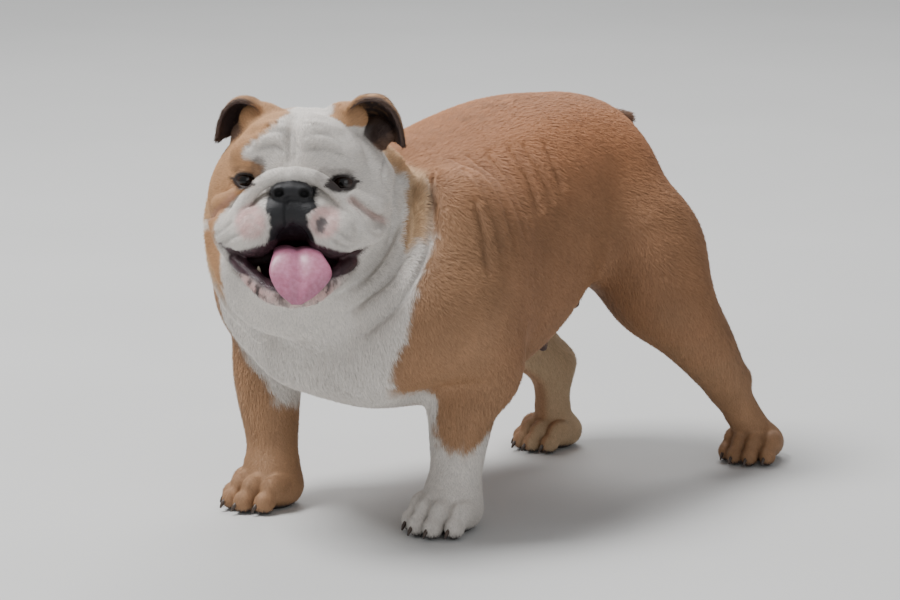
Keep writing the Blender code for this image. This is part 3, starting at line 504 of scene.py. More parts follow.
def cutLine(clay, laid, radius, blend, ends, shade):
    # a shallow groove along a line on the surface, thinner at its ends
    radii = [radius * (ends if i in (0, len(laid) - 1) else 1) for i in range(len(laid))]
    clay.stand()
    clay.rope(laid, radii, blend, cut=True)
    # keeps the line, so that paint() darkens the colour along it as painted shade
    creaseLines.append((laid, *shade))


# the folds between cheek, rolls and shoulder: left and up from between the eyes, then half width and blend
foldLines = (
    (((0.0740, 0.048), (0.0799, 0.0376), (0.0870, 0.014), (0.0872, -0.0101), (0.0860, -0.0500),
      (0.0700, -0.0800), (0.0400, -0.1030)), 0.0036, 0.0045),
    (((0.0850, 0.0300), (0.0950, 0.0080), (0.1010, -0.0220), (0.1000, -0.0580), (0.0840, -0.0900),
      (0.0505, -0.1160)), 0.0032, 0.0045),
    (((0.0900, 0.0300), (0.1130, 0.0060), (0.1220, -0.0300), (0.1190, -0.0650), (0.1060, -0.0960),
      (0.0860, -0.1180), (0.0640, -0.1360)), 0.0040, 0.0055),
)


def creaseFromFront(clay, path, radius, blend, shade):
    # starts before the face and goes straight back to the surface
    way = headBasis @ np.array((0, 1.0, 0))
    laid = clay.land(fromHead([(u, -0.07, w) for u, w in path]), way, 0.17)
    cutLine(clay, laid, radius, blend, 0.4, shade)


def shapeCreases(clay):
    # each crease's last pair is the width and strength of the painted shade along it
    for path in faceCreases:
        creaseFromFront(clay, path, 0.0007, 0.0040, (0.0016, 0.22))
    for path, radius, blend in foldLines:
        creaseFromFront(clay, path, radius, blend, (0.0045, 0.22))


def shapeFlank(clay):
    # laid from outside towards the trunk's middle, from the back's edge down the flank
    folds = flankFolds
    for side in (1, -1):
        for number in range(folds["count"]):
            share = number / (folds["count"] - 1)
            laid = []
            top = min(66 - 10 * share, 34 + 14 * number)
            for angle in np.radians(np.linspace(top, 8 + 28 * share, 7)):
                out = np.array((side * math.cos(angle), 0, math.sin(angle)))
                y = folds["first"] + folds["step"] * number + folds["lean"] * math.sin(angle)
                y += 0.0025 * math.sin(3.1 * angle + 2.3 * number)
                laid.append(clay.land([np.array((0, y, folds["middle"])) + 0.21 * out], -out, 0.16)[0])
            cutLine(clay, laid, folds["radius"] * (1 - 0.3 * share), folds["blend"], 0.15, folds["shade"])


ear = {
    "front": ((0.034, 0.034, 0.046), (0.042, 0.024, 0.063), (0.055, 0.019, 0.073), (0.071, 0.021, 0.075),
              (0.084, 0.026, 0.066), (0.091, 0.031, 0.052), (0.0940, 0.034, 0.037)),
    "crown": ((0.034, 0.044, 0.048), (0.047, 0.044, 0.071), (0.061, 0.047, 0.0775), (0.075, 0.048, 0.075),
              (0.086, 0.046, 0.062), (0.0915, 0.042, 0.048), (0.0945, 0.037, 0.035)),
    "back": ((0.034, 0.054, 0.042), (0.048, 0.066, 0.052), (0.060, 0.070, 0.052), (0.070, 0.069, 0.047),
             (0.079, 0.061, 0.041), (0.087, 0.050, 0.037), (0.0935, 0.040, 0.033)),
    "sheet": 0.0006,
    "thick": 0.0026,
    "pose": {1: (1.0, 1.0, 0.0), -1: (0.86, 0.86, 0.007)},   # width, height and shift inwards
}


def earSheet(side):
    # rows from the root to the tip, each from the front edge over the crown to the back edge
    edges = [smoothRows(ear[k], 4) for k in ("front", "crown", "back")]
    rows = np.array([smoothRows([e[i] for e in edges], 6) for i in range(len(edges[0]))])
    wide, tall, inward = ear["pose"][side]
    root = np.array(ear["front"][0])
    rows = root - (inward, 0, 0) + (rows - root) * (wide, 1, tall)
    return fromHead(rows.reshape(-1, 3), side).reshape(rows.shape)


def earBody(side):
    # the sheet as a thin closed mesh
    rows = earSheet(side)
    along = np.gradient(rows, axis=0)
    across = np.gradient(rows, axis=1)
    facing = np.cross(along, across)
    facing /= np.linalg.norm(facing, axis=2, keepdims=True)
    if side < 0:
        facing = -facing
    many, wide = rows.shape[:2]
    outer, inner = rows + facing * ear["sheet"] / 2, rows - facing * ear["sheet"] / 2
    points = np.concatenate([outer.reshape(-1, 3), inner.reshape(-1, 3)])
    second = many * wide
    faces = []
    for i in range(many - 1):
        for j in range(wide - 1):
            a, b, c, d = i * wide + j, i * wide + j + 1, (i + 1) * wide + j + 1, (i + 1) * wide + j
            faces.append((a, b, c, d))
            faces.append((second + d, second + c, second + b, second + a))
    rim = [(0, j) for j in range(wide)] + [(i, wide - 1) for i in range(1, many)]
    rim += [(many - 1, j) for j in range(wide - 2, -1, -1)] + [(i, 0) for i in range(many - 2, 0, -1)]
    rim = [i * wide + j for i, j in rim]
    for a, b in zip(rim, rim[1:] + rim[:1]):
        faces.append((b, a, second + a, second + b))
    return rows, facing, points, faces


grid = {"low": (-0.176, -0.342, -0.009), "high": (0.176, 0.342, 0.432), "coarse": 0.003}


def makeBody():
    # trunk and legs on a coarse grid, then paws, head and ears on one twice as fine
    clay = Clay(grid["low"], grid["high"], grid["coarse"])
    shapeTrunk(clay)
    shapeNeck(clay)
    shapeLegs(clay)
    clay.soften((-0.19, -0.22, 0.05), (0.19, 0.33, 0.36), 14)
    clay.refine()
    print("trunk and legs shaped")
    shapePaws(clay)
    clay.rope(tail["path"], tail["radii"], 0.008)
    for (x, y, z), r in teats:
        clay.rope([(x, y, z + 0.018), (x, y, z)], (r * 1.3, r), 0.003, both=True)
    shapeHead(clay)
    print("head shaped")
    # the skin lies under the solids by the depth of the coat
    away = [clay.low[i] + clay.cell * np.arange(clay.count[i]) for i in range(3)]
    x, y, z = [a.astype(np.float32) for a in np.meshgrid(*away, indexing="ij", sparse=True)]
    fromFace = np.sqrt((x - headAt[0]) ** 2 + (y - headAt[1] - 0.03) ** 2 + (z - headAt[2] + 0.02) ** 2)
    depth = coatDepth["head"] + (coatDepth["body"] - coatDepth["head"]) * smoothStep(fromFace, 0.10, 0.18)
    depth -= (coatDepth["body"] - coatDepth["paw"]) * (1 - smoothStep(z, 0.02, 0.07))
    nose = np.array(fromHead([(0, -0.046, -0.014)])[0])
    fromNose = np.sqrt((x - nose[0]) ** 2 + (y - nose[1]) ** 2 + (z - nose[2]) ** 2)
    depth -= (coatDepth["head"] - coatDepth["leather"]) * (1 - smoothStep(fromNose, 0.02, 0.035))
    for side in (1, -1):
        lid = fromHead([(eye["at"][0], eye["at"][1] - 0.010, 0)], side)[0]
        fromLid = np.sqrt((x - lid[0]) ** 2 + (y - lid[1]) ** 2 + (z - lid[2]) ** 2)
        depth -= (coatDepth["head"] - coatDepth["leather"]) * (1 - smoothStep(fromLid, 0.012, 0.022))
    for (tx, ty, tz), _ in teats:
        fromTeat = np.sqrt((np.abs(x) - tx) ** 2 + (y - ty) ** 2 + ((z - tz) * 0.7) ** 2)
        depth -= (coatDepth["body"] - coatDepth["leather"]) * (1 - smoothStep(fromTeat, 0.007, 0.013))
    clay.field += depth
    shapeFlank(clay)
    shapeCreases(clay)
    shapeEars(clay)
    np.maximum(clay.field, 0.0002 - z, out=clay.field)
    np.clip(clay.field, -0.006, 0.05, out=clay.field)
    print("ears on")
    return clay


def shapeEars(clay):
    for side in (1, -1):
        _, _, points, faces = earBody(side)
        clay.addMesh(points, faces, ear["thick"], 0.0035)


def turnedOut(mesh):
    form = bmesh.new()
    form.from_mesh(mesh)
    bmesh.ops.recalc_face_normals(form, faces=form.faces)
    form.to_mesh(mesh)
    form.free()


def meshObject(name, mesh):
    item = bpy.data.objects.new(name, mesh)
    bpy.context.scene.collection.objects.link(item)
    return item


def settled(item):
    graph = bpy.context.evaluated_depsgraph_get()
    held = bpy.data.meshes.new_from_object(item.evaluated_get(graph))
    item.modifiers.clear()
    item.data = held
    return item


def keepLargest(mesh):
    # drops crumbs off the main surface
    form = bmesh.new()
    form.from_mesh(mesh)
    left = set(form.verts)
    groups = []
    while left:
        seed = left.pop()
        group, edge = {seed}, [seed]
        while edge:
            for link in edge.pop().link_edges:
                for vert in link.verts:
                    if vert not in group:
                        group.add(vert)
                        edge.append(vert)
        left -= group
        groups.append(group)
    groups.sort(key=len)
    for group in groups[:-1]:
        bmesh.ops.delete(form, geom=list(group), context="VERTS")
    form.to_mesh(mesh)
    form.free()


skinTriangles = 188000
bodyLength = 2.3    # how much longer the edges are on the body than on the face


def thinSkin(item):
    # thins the body more than the face
    points = np.empty(len(item.data.vertices) * 3, np.float32)
    item.data.vertices.foreach_get("co", points)
    local = toHead(points.reshape(-1, 3))
    away = np.linalg.norm(local - (0, 0.02, -0.03), axis=1)
    faceCost = 1.9
    weights = 1 - faceCost / 2 * (1 + (1 / bodyLength - 1) * smoothStep(away, 0.10, 0.15))
    group = item.vertex_groups.new(name="body")
    for level in np.unique(np.round(weights, 2)):
        near = np.nonzero(np.round(weights, 2) == level)[0]
        group.add(near.tolist(), float(level), "REPLACE")
    item.data.calc_loop_triangles()
    thin = item.modifiers.new("thin", "DECIMATE")
    thin.ratio = skinTriangles / len(item.data.loop_triangles)
    thin.vertex_group = "body"
    thin.vertex_group_factor = 0.001
    thin.use_collapse_triangulate = True
    settled(item)
    item.vertex_groups.clear()
    return item


def meshPoints(mesh):
    points = np.empty(len(mesh.vertices) * 3, np.float32)
    mesh.vertices.foreach_get("co", points)
    return points.reshape(-1, 3).astype(float)


def meshNormals(mesh):
    normals = np.empty(len(mesh.vertices) * 3, np.float32)
    mesh.vertices.foreach_get("normal", normals)
    return normals.reshape(-1, 3).astype(float)


def keepAttribute(mesh, name, kind, values, domain="POINT"):
    values = np.asarray(values, np.float32)
    if kind == "FLOAT_COLOR":
        values = np.column_stack([values, np.ones(len(values), np.float32)])
    layer = mesh.attributes.new(name, kind, domain)
    field = {"FLOAT": "value", "FLOAT_VECTOR": "vector", "FLOAT_COLOR": "color"}[kind]
    layer.data.foreach_set(field, np.ascontiguousarray(values, np.float32).ravel())


waveDraw = np.random.default_rng(11)
waveWays = waveDraw.normal(size=(14, 3))
waveWays /= np.linalg.norm(waveWays, axis=1, keepdims=True)
wavePhases = waveDraw.uniform(0, 6.28, 14)


def wobble(points, size, first=0):
    # a smooth uneven value from -1 to 1, the same at the same place
    found = np.zeros(len(points))
    for i in range(7):
        way, phase = waveWays[(i + first) % 14], wavePhases[(i + first) % 14]
        found += np.sin(points @ way * 6.28 / (size * (0.6 + 0.17 * i)) + phase)
    return found / 3.2


def spot(local, at, radii):
    # 1 at the middle of an oval on the face, 0 outside it
    near = np.sqrt(((local[:, 0] - at[0]) / radii[0]) ** 2 + ((local[:, 2] - at[1]) / radii[1]) ** 2)
    return 1 - smoothStep(near, 0.75, 1.15)


def oval(places, at, radii):
    # 0 at the middle of a ball drawn out along its axes, 1 on its surface
    return np.linalg.norm((places - np.array(at)) / radii, axis=1)


def nearPath(points, path):
    # the distance to a line of points, and how far along it the nearest place is
    best = np.full(len(points), 9.0)
    along = np.zeros(len(points))
    path = np.array(path, float)
    for i, (a, b) in enumerate(zip(path, path[1:])):
        way = b - a
        share = np.clip((points - a) @ way / (way @ way), 0, 1)
        away = np.linalg.norm(points - a - share[:, None] * way, axis=1)
        closer = away < best
        best[closer] = away[closer]
        along[closer] = (i + share[closer]) / (len(path) - 1)
    return best, along


colours = {
    "backFawn": (0.470, 0.212, 0.100), "sideFawn": (0.335, 0.172, 0.088), "legFawn": (0.405, 0.232, 0.125),
    "headFawn": (0.530, 0.298, 0.150), "rollFawn": (0.570, 0.375, 0.215), "cream": (0.560, 0.420, 0.265),
    "white": (0.760, 0.715, 0.665), "bellyPink": (0.640, 0.450, 0.360), "nose": (0.011, 0.011, 0.013),
    # mouth: the lips' dark colour deepened to near black by painted shade inside the open mouth
    "lip": (0.050, 0.026, 0.032), "mouth": (0.030, 0.008, 0.009), "pink": (0.640, 0.370, 0.350),
    "rim": (0.030, 0.022, 0.020), "earInside": (0.062, 0.040, 0.036), "earKnob": (0.150, 0.088, 0.060),
    "smudge": (0.090, 0.062, 0.050), "foldPink": (0.460, 0.240, 0.210), "pad": (0.045, 0.038, 0.036),
    "teat": (0.090, 0.055, 0.050), "tailTip": (0.120, 0.075, 0.055), "spine": (0.190, 0.100, 0.060),
    # nostril: near black, painted shade inside the nose's holes
    "lipPatch": (0.070, 0.065, 0.070), "nostril": (0.0010, 0.0008, 0.0008),
}
# where fawn gives way to white on the right of the face: up from between the eyes, then left
blazeEdge = ((-0.040, -0.070), (-0.030, -0.062), (-0.019, -0.0545), (-0.010, -0.0404), (-0.001, -0.033),
             (0.012, -0.0293), (0.019, -0.0404), (0.028, -0.0422), (0.036, -0.0348), (0.049, -0.0176),
             (0.058, -0.0100), (0.075, -0.0080))
# the black of the nose and of the lips' inner edges: up, then its right and its left edge
blackEdge = ((-0.066, -0.0235, 0.0310), (-0.0541, -0.0190, 0.0262), (-0.0468, -0.0163, 0.0220),
             (-0.0394, -0.0150, 0.0188), (-0.0284, -0.0155, 0.0188), (-0.0211, -0.0200, 0.0270),
             (-0.0150, -0.0205, 0.0235), (0.0, -0.0200, 0.0215))
# the white chest: up from the floor, then its right and its left edge
chestEdge = ((0.090, -0.070, 0.070), (0.107, -0.085, 0.072), (0.130, -0.100, 0.076), (0.158, -0.118, 0.094),
             (0.204, -0.118, 0.121), (0.247, -0.112, 0.130), (0.294, -0.100, 0.113), (0.330, -0.080, 0.100))


def mixed(colour, other, share):
    return colour + (np.array(other) - colour) * share[:, None]


coatLength = {"face": 0.0036, "body": 0.0072, "shorterOnPaws": 0.0038, "least": 0.0028}


def paint(mesh, sheets):
    # gives each point of the skin its colour, its bareness and wetness, and its hair's cover, lie and length
    points = meshPoints(mesh)
    normals = meshNormals(mesh)
    local = toHead(points)
    u, v, w = local.T
    x, y, z = points.T
    small = wobble(points, 0.010)
    broad = wobble(points, 0.040, 3)
    edge = 0.0022 * small + 0.004 * broad
    inHead = 1 - smoothStep(np.linalg.norm(local - (0, 0.035, -0.02), axis=1), 0.112, 0.128)
    # fawn ground, warmest along the back
    high = smoothStep(z + 0.10 * np.clip(y, -0.2, 0.2), 0.27, 0.38)
    colour = mixed(np.tile(colours["sideFawn"], (len(points), 1)), colours["backFawn"], high)
    legs = 1 - smoothStep(z + 0.02 * broad, 0.08, 0.20)
    colour = mixed(colour, colours["legFawn"], legs * 0.8)
    front = smoothStep(-y, 0.06, 0.16) * (1 - high)
    colour = mixed(colour, colours["legFawn"], front * 0.7)
    colour = mixed(colour, colours["headFawn"], inHead)
    colour *= (1 + 0.05 * broad + 0.03 * small)[:, None]
    # dark hairs along the spine
    spine = np.exp(-(x / 0.035) ** 2) * smoothStep(z, 0.33, 0.37) * smoothStep(y, -0.16, -0.05)
    colour = mixed(colour, colours["spine"], np.clip(spine * (0.25 + 0.30 * small), 0, 1))
    # paler fawn on the rolls of the neck
    rollShare = inHead * smoothStep(v + 0.4 * np.abs(u), 0.085, 0.105) * smoothStep(-u, -0.15, -0.03)
    colour = mixed(colour, colours["rollFawn"], rollShare * 0.9)
    outerRoll = smoothStep(u + 0.123 * v + 0.5 * edge, 0.1005, 0.1045)
    outerRoll *= smoothStep(w + 2 * edge, -0.064, -0.050) * inHead
    # white: face, throat, chest, belly, left front foot
    blaze = np.interp(w, *np.array(blazeEdge).T)
    face = smoothStep(u - blaze + edge, -0.003, 0.003)
    beside = smoothStep(u + edge, -0.076, -0.068)
    face = np.maximum(face, smoothStep(-w + edge, 0.040, 0.050))
    face *= np.maximum(beside, smoothStep(w + edge, -0.052, -0.042))
    face *= 1 - smoothStep(v + edge - 0.25 * np.clip(-w, 0, 0.1), 0.066, 0.076)
    crown = smoothStep(0.020 - 0.16 * np.clip(v - 0.05, 0, 0.1) - np.abs(u - 0.006) + edge, -0.003, 0.003)
    crown *= smoothStep(w, 0.045, 0.055) * (1 - smoothStep(v, 0.10, 0.12))
    face = np.where(w > 0.050, np.where(v > 0.018, crown, face), face) * inHead
    low, right, left = np.array(chestEdge).T
    chest = smoothStep(np.interp(z, low, left) - x + edge, -0.004, 0.004)
    chest *= smoothStep(x - np.interp(z, low, right) + edge, -0.004, 0.004)
    reach = np.interp(z, (0.10, 0.15, 0.20, 0.30, 0.33), (0.0, -0.10, -0.135, -0.155, -0.175))
    chest *= smoothStep(reach - y + 2 * edge, -0.006, 0.006) * (1 - smoothStep(z, 0.285, 0.315))
    chest *= smoothStep(z + edge, 0.088, 0.098) * np.maximum(beside, 1 - inHead)
    belly = smoothStep(-normals[:, 2], 0.45, 0.75) * smoothStep(z, 0.085, 0.10)
    belly *= 1 - smoothStep(np.abs(x), 0.05, 0.085)
    belly *= smoothStep(0.20 - y, 0, 0.03) * smoothStep(y, -0.15, -0.10)
    lowerRoll = inHead * smoothStep(-w + edge, 0.050, 0.066) * beside
    sock = (1 - smoothStep(z + 2 * edge, 0.078, 0.088)) * smoothStep(x, 0.03, 0.04)
    sock *= smoothStep(-y, 0.04, 0.05)
    strip = (1 - smoothStep(np.abs(x - 0.080 + 0.10 * (z - 0.10)) + 2 * edge, 0.010, 0.016))
    strip *= smoothStep(-y, 0.115, 0.125) * (1 - smoothStep(z, 0.13, 0.16)) * smoothStep(x, 0.03, 0.04)
    white = np.max([face, chest, lowerRoll, sock, strip], axis=0)
    white *= 1 - outerRoll
    colour = mixed(colour, colours["rollFawn"], outerRoll)
    pale = np.array(colours["white"]) * (1 + 0.03 * broad)[:, None]
    colour = colour + (pale - colour) * white[:, None]
    colour = mixed(colour, colours["bellyPink"], np.clip(belly * 0.8, 0, 1))
    inner = smoothStep(x, -0.075, -0.055) * smoothStep(-x, 0.0, 0.02) * smoothStep(y, 0.10, 0.13)
    inner *= (1 - smoothStep(z, 0.16, 0.20)) * smoothStep(normals[:, 0], 0.1, 0.6)
    colour = mixed(colour, colours["cream"], inner * 0.8)
    # ears: dark inside, fawn outside
    bare = np.zeros(len(points))
    cover = np.ones(len(points))
    lie = bodyLie(points, local, normals, inHead)
    for side, (rows, hollow) in sheets.items():
        tree = kdTree(rows.reshape(-1, 3))
        near = np.nonzero(np.linalg.norm(points - rows.mean((0, 1)), axis=1) < 0.08)[0]
        found = [tree.find(points[i]) for i in near]
        away = np.array([f[2] for f in found])
        index = np.array([f[1] for f in found])
        row = index // rows.shape[1]
        onFlap = (1 - smoothStep(away, 0.0025, 0.0045)) * smoothStep(row, 3, 7)
        cupped = smoothStep((normals[near] * hollow.reshape(-1, 3)[index]).sum(1), -0.1, 0.35)
        outside = np.array(colours["headFawn"]) * 0.86
        colour[near] = mixed(colour[near], outside, onFlap)
        colour[near] = mixed(colour[near], colours["earInside"], onFlap * cupped)
        column = index % rows.shape[1] / (rows.shape[1] - 1)
        rim = np.maximum(smoothStep(row / rows.shape[0], 0.72, 0.90), 1 - smoothStep(column, 0.05, 0.16))
        colour[near] = mixed(colour[near], colours["earInside"], onFlap * rim * 0.9 * smoothStep(row, 5, 9))
        cover[near] *= 1 - onFlap * cupped
        way = np.gradient(rows, axis=0).reshape(-1, 3)[index]
        way /= np.linalg.norm(way, axis=1, keepdims=True)
        lie[near] += (way - lie[near]) * onFlap[:, None]
    for _, knob in earRoots.values():
        share = 1 - smoothStep(np.linalg.norm(local - knob, axis=1), 0.011, 0.016)
        colour = mixed(colour, colours["earKnob"], share)
    filled = 1 - smoothStep(np.linalg.norm(local - earHollow - (0, -0.004, 0.002), axis=1), 0.014, 0.018)
    colour = mixed(colour, colours["earInside"], filled * 0.9)
    # painted shade: the colour is darkened along every groove, as if the fold lay in shadow
    for line, wide, strength in creaseLines:
        away, along = nearPath(points, smoothRows(line, 3))
        fade = smoothStep(along, 0.0, 0.15) * (1 - smoothStep(along, 0.85, 1.0))
        colour *= (1 - strength * fade * np.exp(-(away / wide) ** 2))[:, None]
    # nose and lips
    black = np.array(blackEdge).T
    leather = smoothStep(u - np.interp(w, black[0], black[1]) + 0.4 * edge, -0.0012, 0.0012)
    leather *= smoothStep(np.interp(w, black[0], black[2]) - u + 0.4 * edge, -0.0012, 0.0012)
    leather *= smoothStep(w, -0.068, -0.064) * (1 - smoothStep(w, -0.004, -0.002))
    leather *= smoothStep(-v, 0.010, 0.014) * inHead
    snout = (points - np.array(headAt)) @ muzzleBasis
    ball = oval(snout, (-0.001, -0.0400, -0.0075), (0.0225, 0.0155, 0.0108))
    leather = np.maximum(leather, (1 - smoothStep(ball, 0.97, 1.06)) * inHead)
    for at, radii in (((-0.0330, -0.0350), (0.0150, 0.0165)), ((0.0330, -0.0340), (0.0140, 0.0150))):
        share = spot(local, at, radii) * smoothStep(-v, 0.015, 0.02) * inHead
        colour = mixed(colour, colours["pink"], share * (0.65 + 0.15 * small))
        bare = np.maximum(bare, share * 0.5)
    patch = spot(local + 0.6 * edge[:, None], (0.0300, -0.0376), (0.0050, 0.0080))
    patch *= smoothStep(-v, 0.015, 0.02)
    colour = mixed(colour, colours["lipPatch"], patch * 0.85)
    # the fold under each eye's outer corner shows pink where no hair grows
    for side in (1, -1):
        path = np.array([(side * a, b) for a, b in ((0.0530, -0.0140), (0.068, -0.027), (0.0790, -0.035))])
        away, _ = nearPath(local[:, (0, 2)], path)
        pouch = (1 - smoothStep(away, 0.001, 0.0048)) * smoothStep(-v, -0.035, -0.02) * inHead
        colour = mixed(colour, colours["foldPink"], pouch * (0.5 if side > 0 else 0.4))
        bare = np.maximum(bare, pouch * 0.6)
    # the mouth: dark lips, and inside it painted shade, darker further back into the mouth
    lipPath = smoothRows(lip["path"], 6)
    lipPath = np.vstack([lipPath[::-1] * (-1, 1, 1), lipPath[1:]])
    away, along = nearPath(snout, lipPath)
    width = np.interp(np.abs(along - 0.5) * 2, (0, 0.5, 1), (0.0105, 0.0098, 0.0060))
    middle = np.interp(along, np.linspace(0, 1, len(lipPath)), lipPath[:, 2])
    front = np.interp(along, np.linspace(0, 1, len(lipPath)), lipPath[:, 1])
    raised = (w - middle) / width - 0.35 * (front - snout[:, 1]) / width
    lowerLip = (1 - smoothStep(away / width, 1.5, 1.9)) * smoothStep(raised, -0.25, 0.10) * inHead
    lowerLip *= 1 - smoothStep(np.abs(along - 0.5) * 2, 0.80, 0.90)
    inside = oval(snout, (0, -0.010, -0.0715), (0.0620, 0.060, 0.0235))
    inside = (1 - smoothStep(inside, 0.94, 1.0)) * smoothStep(-np.abs(u), -0.075, -0.070)
    hole = oval(snout, (0, -0.030, -0.066), (0.0185, 0.046, 0.0315))
    inside = np.maximum(inside, 1 - smoothStep(hole, 0.97, 1.02)) * inHead
    mouth = np.maximum(inside, lowerLip)
    chin = (1 - smoothStep(away / width, 1.2, 1.9)) * (1 - lowerLip)
    chin *= (1 - smoothStep(np.abs(u), 0.035, 0.055)) * inHead
    colour = mixed(colour, colours["pink"], chin * 0.75)
    spots = smoothStep(wobble(points, 0.011, 5), 0.05, 0.35)
    colour = mixed(colour, colours["nose"], chin * spots * 0.9)
    colour = mixed(colour, colours["nose"], leather)
    shade = np.where(w[:, None] > -0.052, colours["nose"], colours["lip"])
    # painted shade: the colour inside the mouth turns near black the further back it lies
    deepMouth = smoothStep(v, -0.035, 0.0)
    shade = shade + (np.array(colours["mouth"]) - shade) * deepMouth[:, None]
    streak = 1 + 0.6 * np.clip(wobble(points, 0.007, 2), 0, 1)
    colour = colour + (shade * streak[:, None] - colour) * mouth[:, None]
    bare = np.max([bare, leather, mouth, chin * 0.5], axis=0)
    wet = np.max([leather * 0.45, mouth], axis=0)
    # the nostrils and the slits beside them, painted near black as painted shade inside the holes, and not
    # glossy
    for at, way in (((-0.0132, -0.0090), -1), ((0.0100, -0.0085), 1)):
        slit = (at[0] + 0.0060 * way, at[1] - 0.0030)
        nostril = spot(snout, at, (0.0056, 0.0052)) + spot(snout, slit, (0.0036, 0.0026))
        nostril = np.clip(nostril, 0, 1) * leather
        colour = mixed(colour, colours["nostril"], nostril)
        wet *= 1 - nostril
    # dark rims and smudges round the eyes
    for side in (1, -1):
        ex, _, ez = eye["at"]
        ring = np.sqrt(((u - side * ex) / 0.0108) ** 2 + ((w - ez - 0.0002) / 0.0072) ** 2)
        rim = (1 - smoothStep(ring, 1.00, 1.36)) * smoothStep(-v, -0.012, 0.0) * inHead
        corners = spot(local, (side * (ex - 0.0118), ez - 0.0020), (0.0034, 0.0020))
        corners = np.maximum(corners, spot(local, (side * (ex + 0.0122), ez + 0.0014), (0.0036, 0.0018)))
        rim = np.maximum(rim, corners * smoothStep(-v, -0.012, 0.0) * inHead)
        if side > 0:
            smudge = spot(local, (ex - 0.004, ez + 0.0095), (0.0150, 0.0042)) * 0.45
            smudge = np.maximum(smudge, spot(local, (ex - 0.017, ez + 0.006), (0.0070, 0.0085)) * 0.35)
        else:
            smudge = spot(local, (-ex + 0.0145, ez + 0.0125), (0.0080, 0.0110)) * 0.75
            smudge = np.maximum(smudge, spot(local, (-ex, ez + 0.0100), (0.0140, 0.0040)) * 0.35)
        smudge *= smoothStep(-v, -0.012, 0.0) * (0.8 + 0.2 * small) * inHead
        colour = mixed(colour, colours["smudge"], np.clip(smudge, 0, 1))
        colour = mixed(colour, colours["rim"], rim)
        bare = np.maximum(bare, rim)
        wet = np.maximum(wet, rim * 0.3)
    # pads, teats and the tail's tip
    pads = (1 - smoothStep(z, 0.003, 0.008)) * smoothStep(-normals[:, 2], 0.2, 0.6)
    colour = mixed(colour, colours["pad"], pads)
    bare = np.maximum(bare, pads)
    for at, r in teats:
        away = np.linalg.norm(points * (1, 1, 0.8) * np.where(x < 0, -1, 1)[:, None] ** (1, 0, 0)
                              - np.array(at) * (1, 1, 0.8), axis=1)
        share = 1 - smoothStep(away, r * 1.3, r * 2.0)
        colour = mixed(colour, colours["teat"], share)
        bare = np.maximum(bare, share)
    tip = 1 - smoothStep(np.linalg.norm(points - tail["path"][-1], axis=1), 0.014, 0.026)
    colour = mixed(colour, colours["tailTip"], tip * 0.8)
    # no tufts on bare skin or on the soles
    cover *= 1 - bare
    cover *= smoothStep(z, 0.0045, 0.0075)
    keepAttribute(mesh, "tint", "FLOAT_COLOR", np.clip(colour, 0.004, 0.9))
    keepAttribute(mesh, "bare", "FLOAT", bare)
    keepAttribute(mesh, "wet", "FLOAT", wet)
    keepAttribute(mesh, "cover", "FLOAT", np.where(cover < 0.12, 0, cover))
    lie -= normals * (lie * normals).sum(1, keepdims=True)
    lie /= np.maximum(np.linalg.norm(lie, axis=1, keepdims=True), 1e-6)
    keepAttribute(mesh, "lie", "FLOAT_VECTOR", lie)
    faceAway = np.linalg.norm(local - (0, -0.02, -0.02), axis=1)
    long = coatLength["face"] + (coatLength["body"] - coatLength["face"]) * smoothStep(faceAway, 0.06, 0.17)
    long -= coatLength["shorterOnPaws"] * (1 - smoothStep(z, 0.03, 0.12))
    keepAttribute(mesh, "long", "FLOAT", np.maximum(long, coatLength["least"]))


def kdTree(points):
    tree = KDTree(len(points))
    for i, point in enumerate(points):
        tree.insert(point, i)
    tree.balance()
    return tree


def bodyLie(points, local, normals, inHead):
    # the way the hair lies: back along the body, down the limbs, outwards over the face
    x, z = points[:, 0], points[:, 2]
    down = -0.30 - 0.5 * smoothStep(np.abs(normals[:, 0]), 0.3, 0.9)
    lie = np.column_stack([0.15 * np.sign(x), np.full(len(x), 0.9), down])
    chest = smoothStep(-normals[:, 1], 0.2, 0.8)[:, None]
    lie += (np.column_stack([0.35 * np.sign(x), np.zeros(len(x)), np.full(len(x), -1.0)]) - lie) * chest
    legs = (1 - smoothStep(z, 0.12, 0.22))[:, None]
    lie += (np.column_stack([np.zeros(len(x)), np.full(len(x), 0.25), np.full(len(x), -1.0)]) - lie) * legs
    nose = np.array((0, -0.050, -0.004))
    out = local - nose
    out[:, 1] = np.abs(out[:, 1]) * 1.1 + 0.01
    out[:, 2] -= 0.01
    out /= np.linalg.norm(out, axis=1, keepdims=True)
    return lie + (out @ headBasis.T - lie) * inHead[:, None]


clay = makeBody()
skin = meshObject("skin", clay.mesh("skin"))
keepLargest(skin.data)
print("skin", len(skin.data.polygons), "faces")
thinSkin(skin)
skin.data.shade_smooth()
sheets = {}
for side in (1, -1):
    rows, hollow, _, _ = earBody(side)
    sheets[side] = (rows, -hollow)
paint(skin.data, sheets)
skin.data.calc_loop_triangles()
print("skin thinned to", len(skin.data.loop_triangles), "and painted")


def nodeTree(material):
    material.use_nodes = True
    tree = material.node_tree
    return tree, tree.nodes["Principled BSDF"]


def addNode(tree, kind, **settings):
    node = tree.nodes.new(kind)
    for key, value in settings.items():
        if key in node.inputs:
            node.inputs[key].default_value = value
        else:
            setattr(node, key, value)
    return node


def attributeNode(tree, name):
    return addNode(tree, "ShaderNodeAttribute", attribute_name=name)


def noiseNode(tree, scale, detail=3.0, roughness=0.5):
    place = addNode(tree, "ShaderNodeTexCoord")
    noise = addNode(tree, "ShaderNodeTexNoise", Scale=scale, Detail=detail, Roughness=roughness)
    tree.links.new(place.outputs["Object"], noise.inputs["Vector"])
    return noise


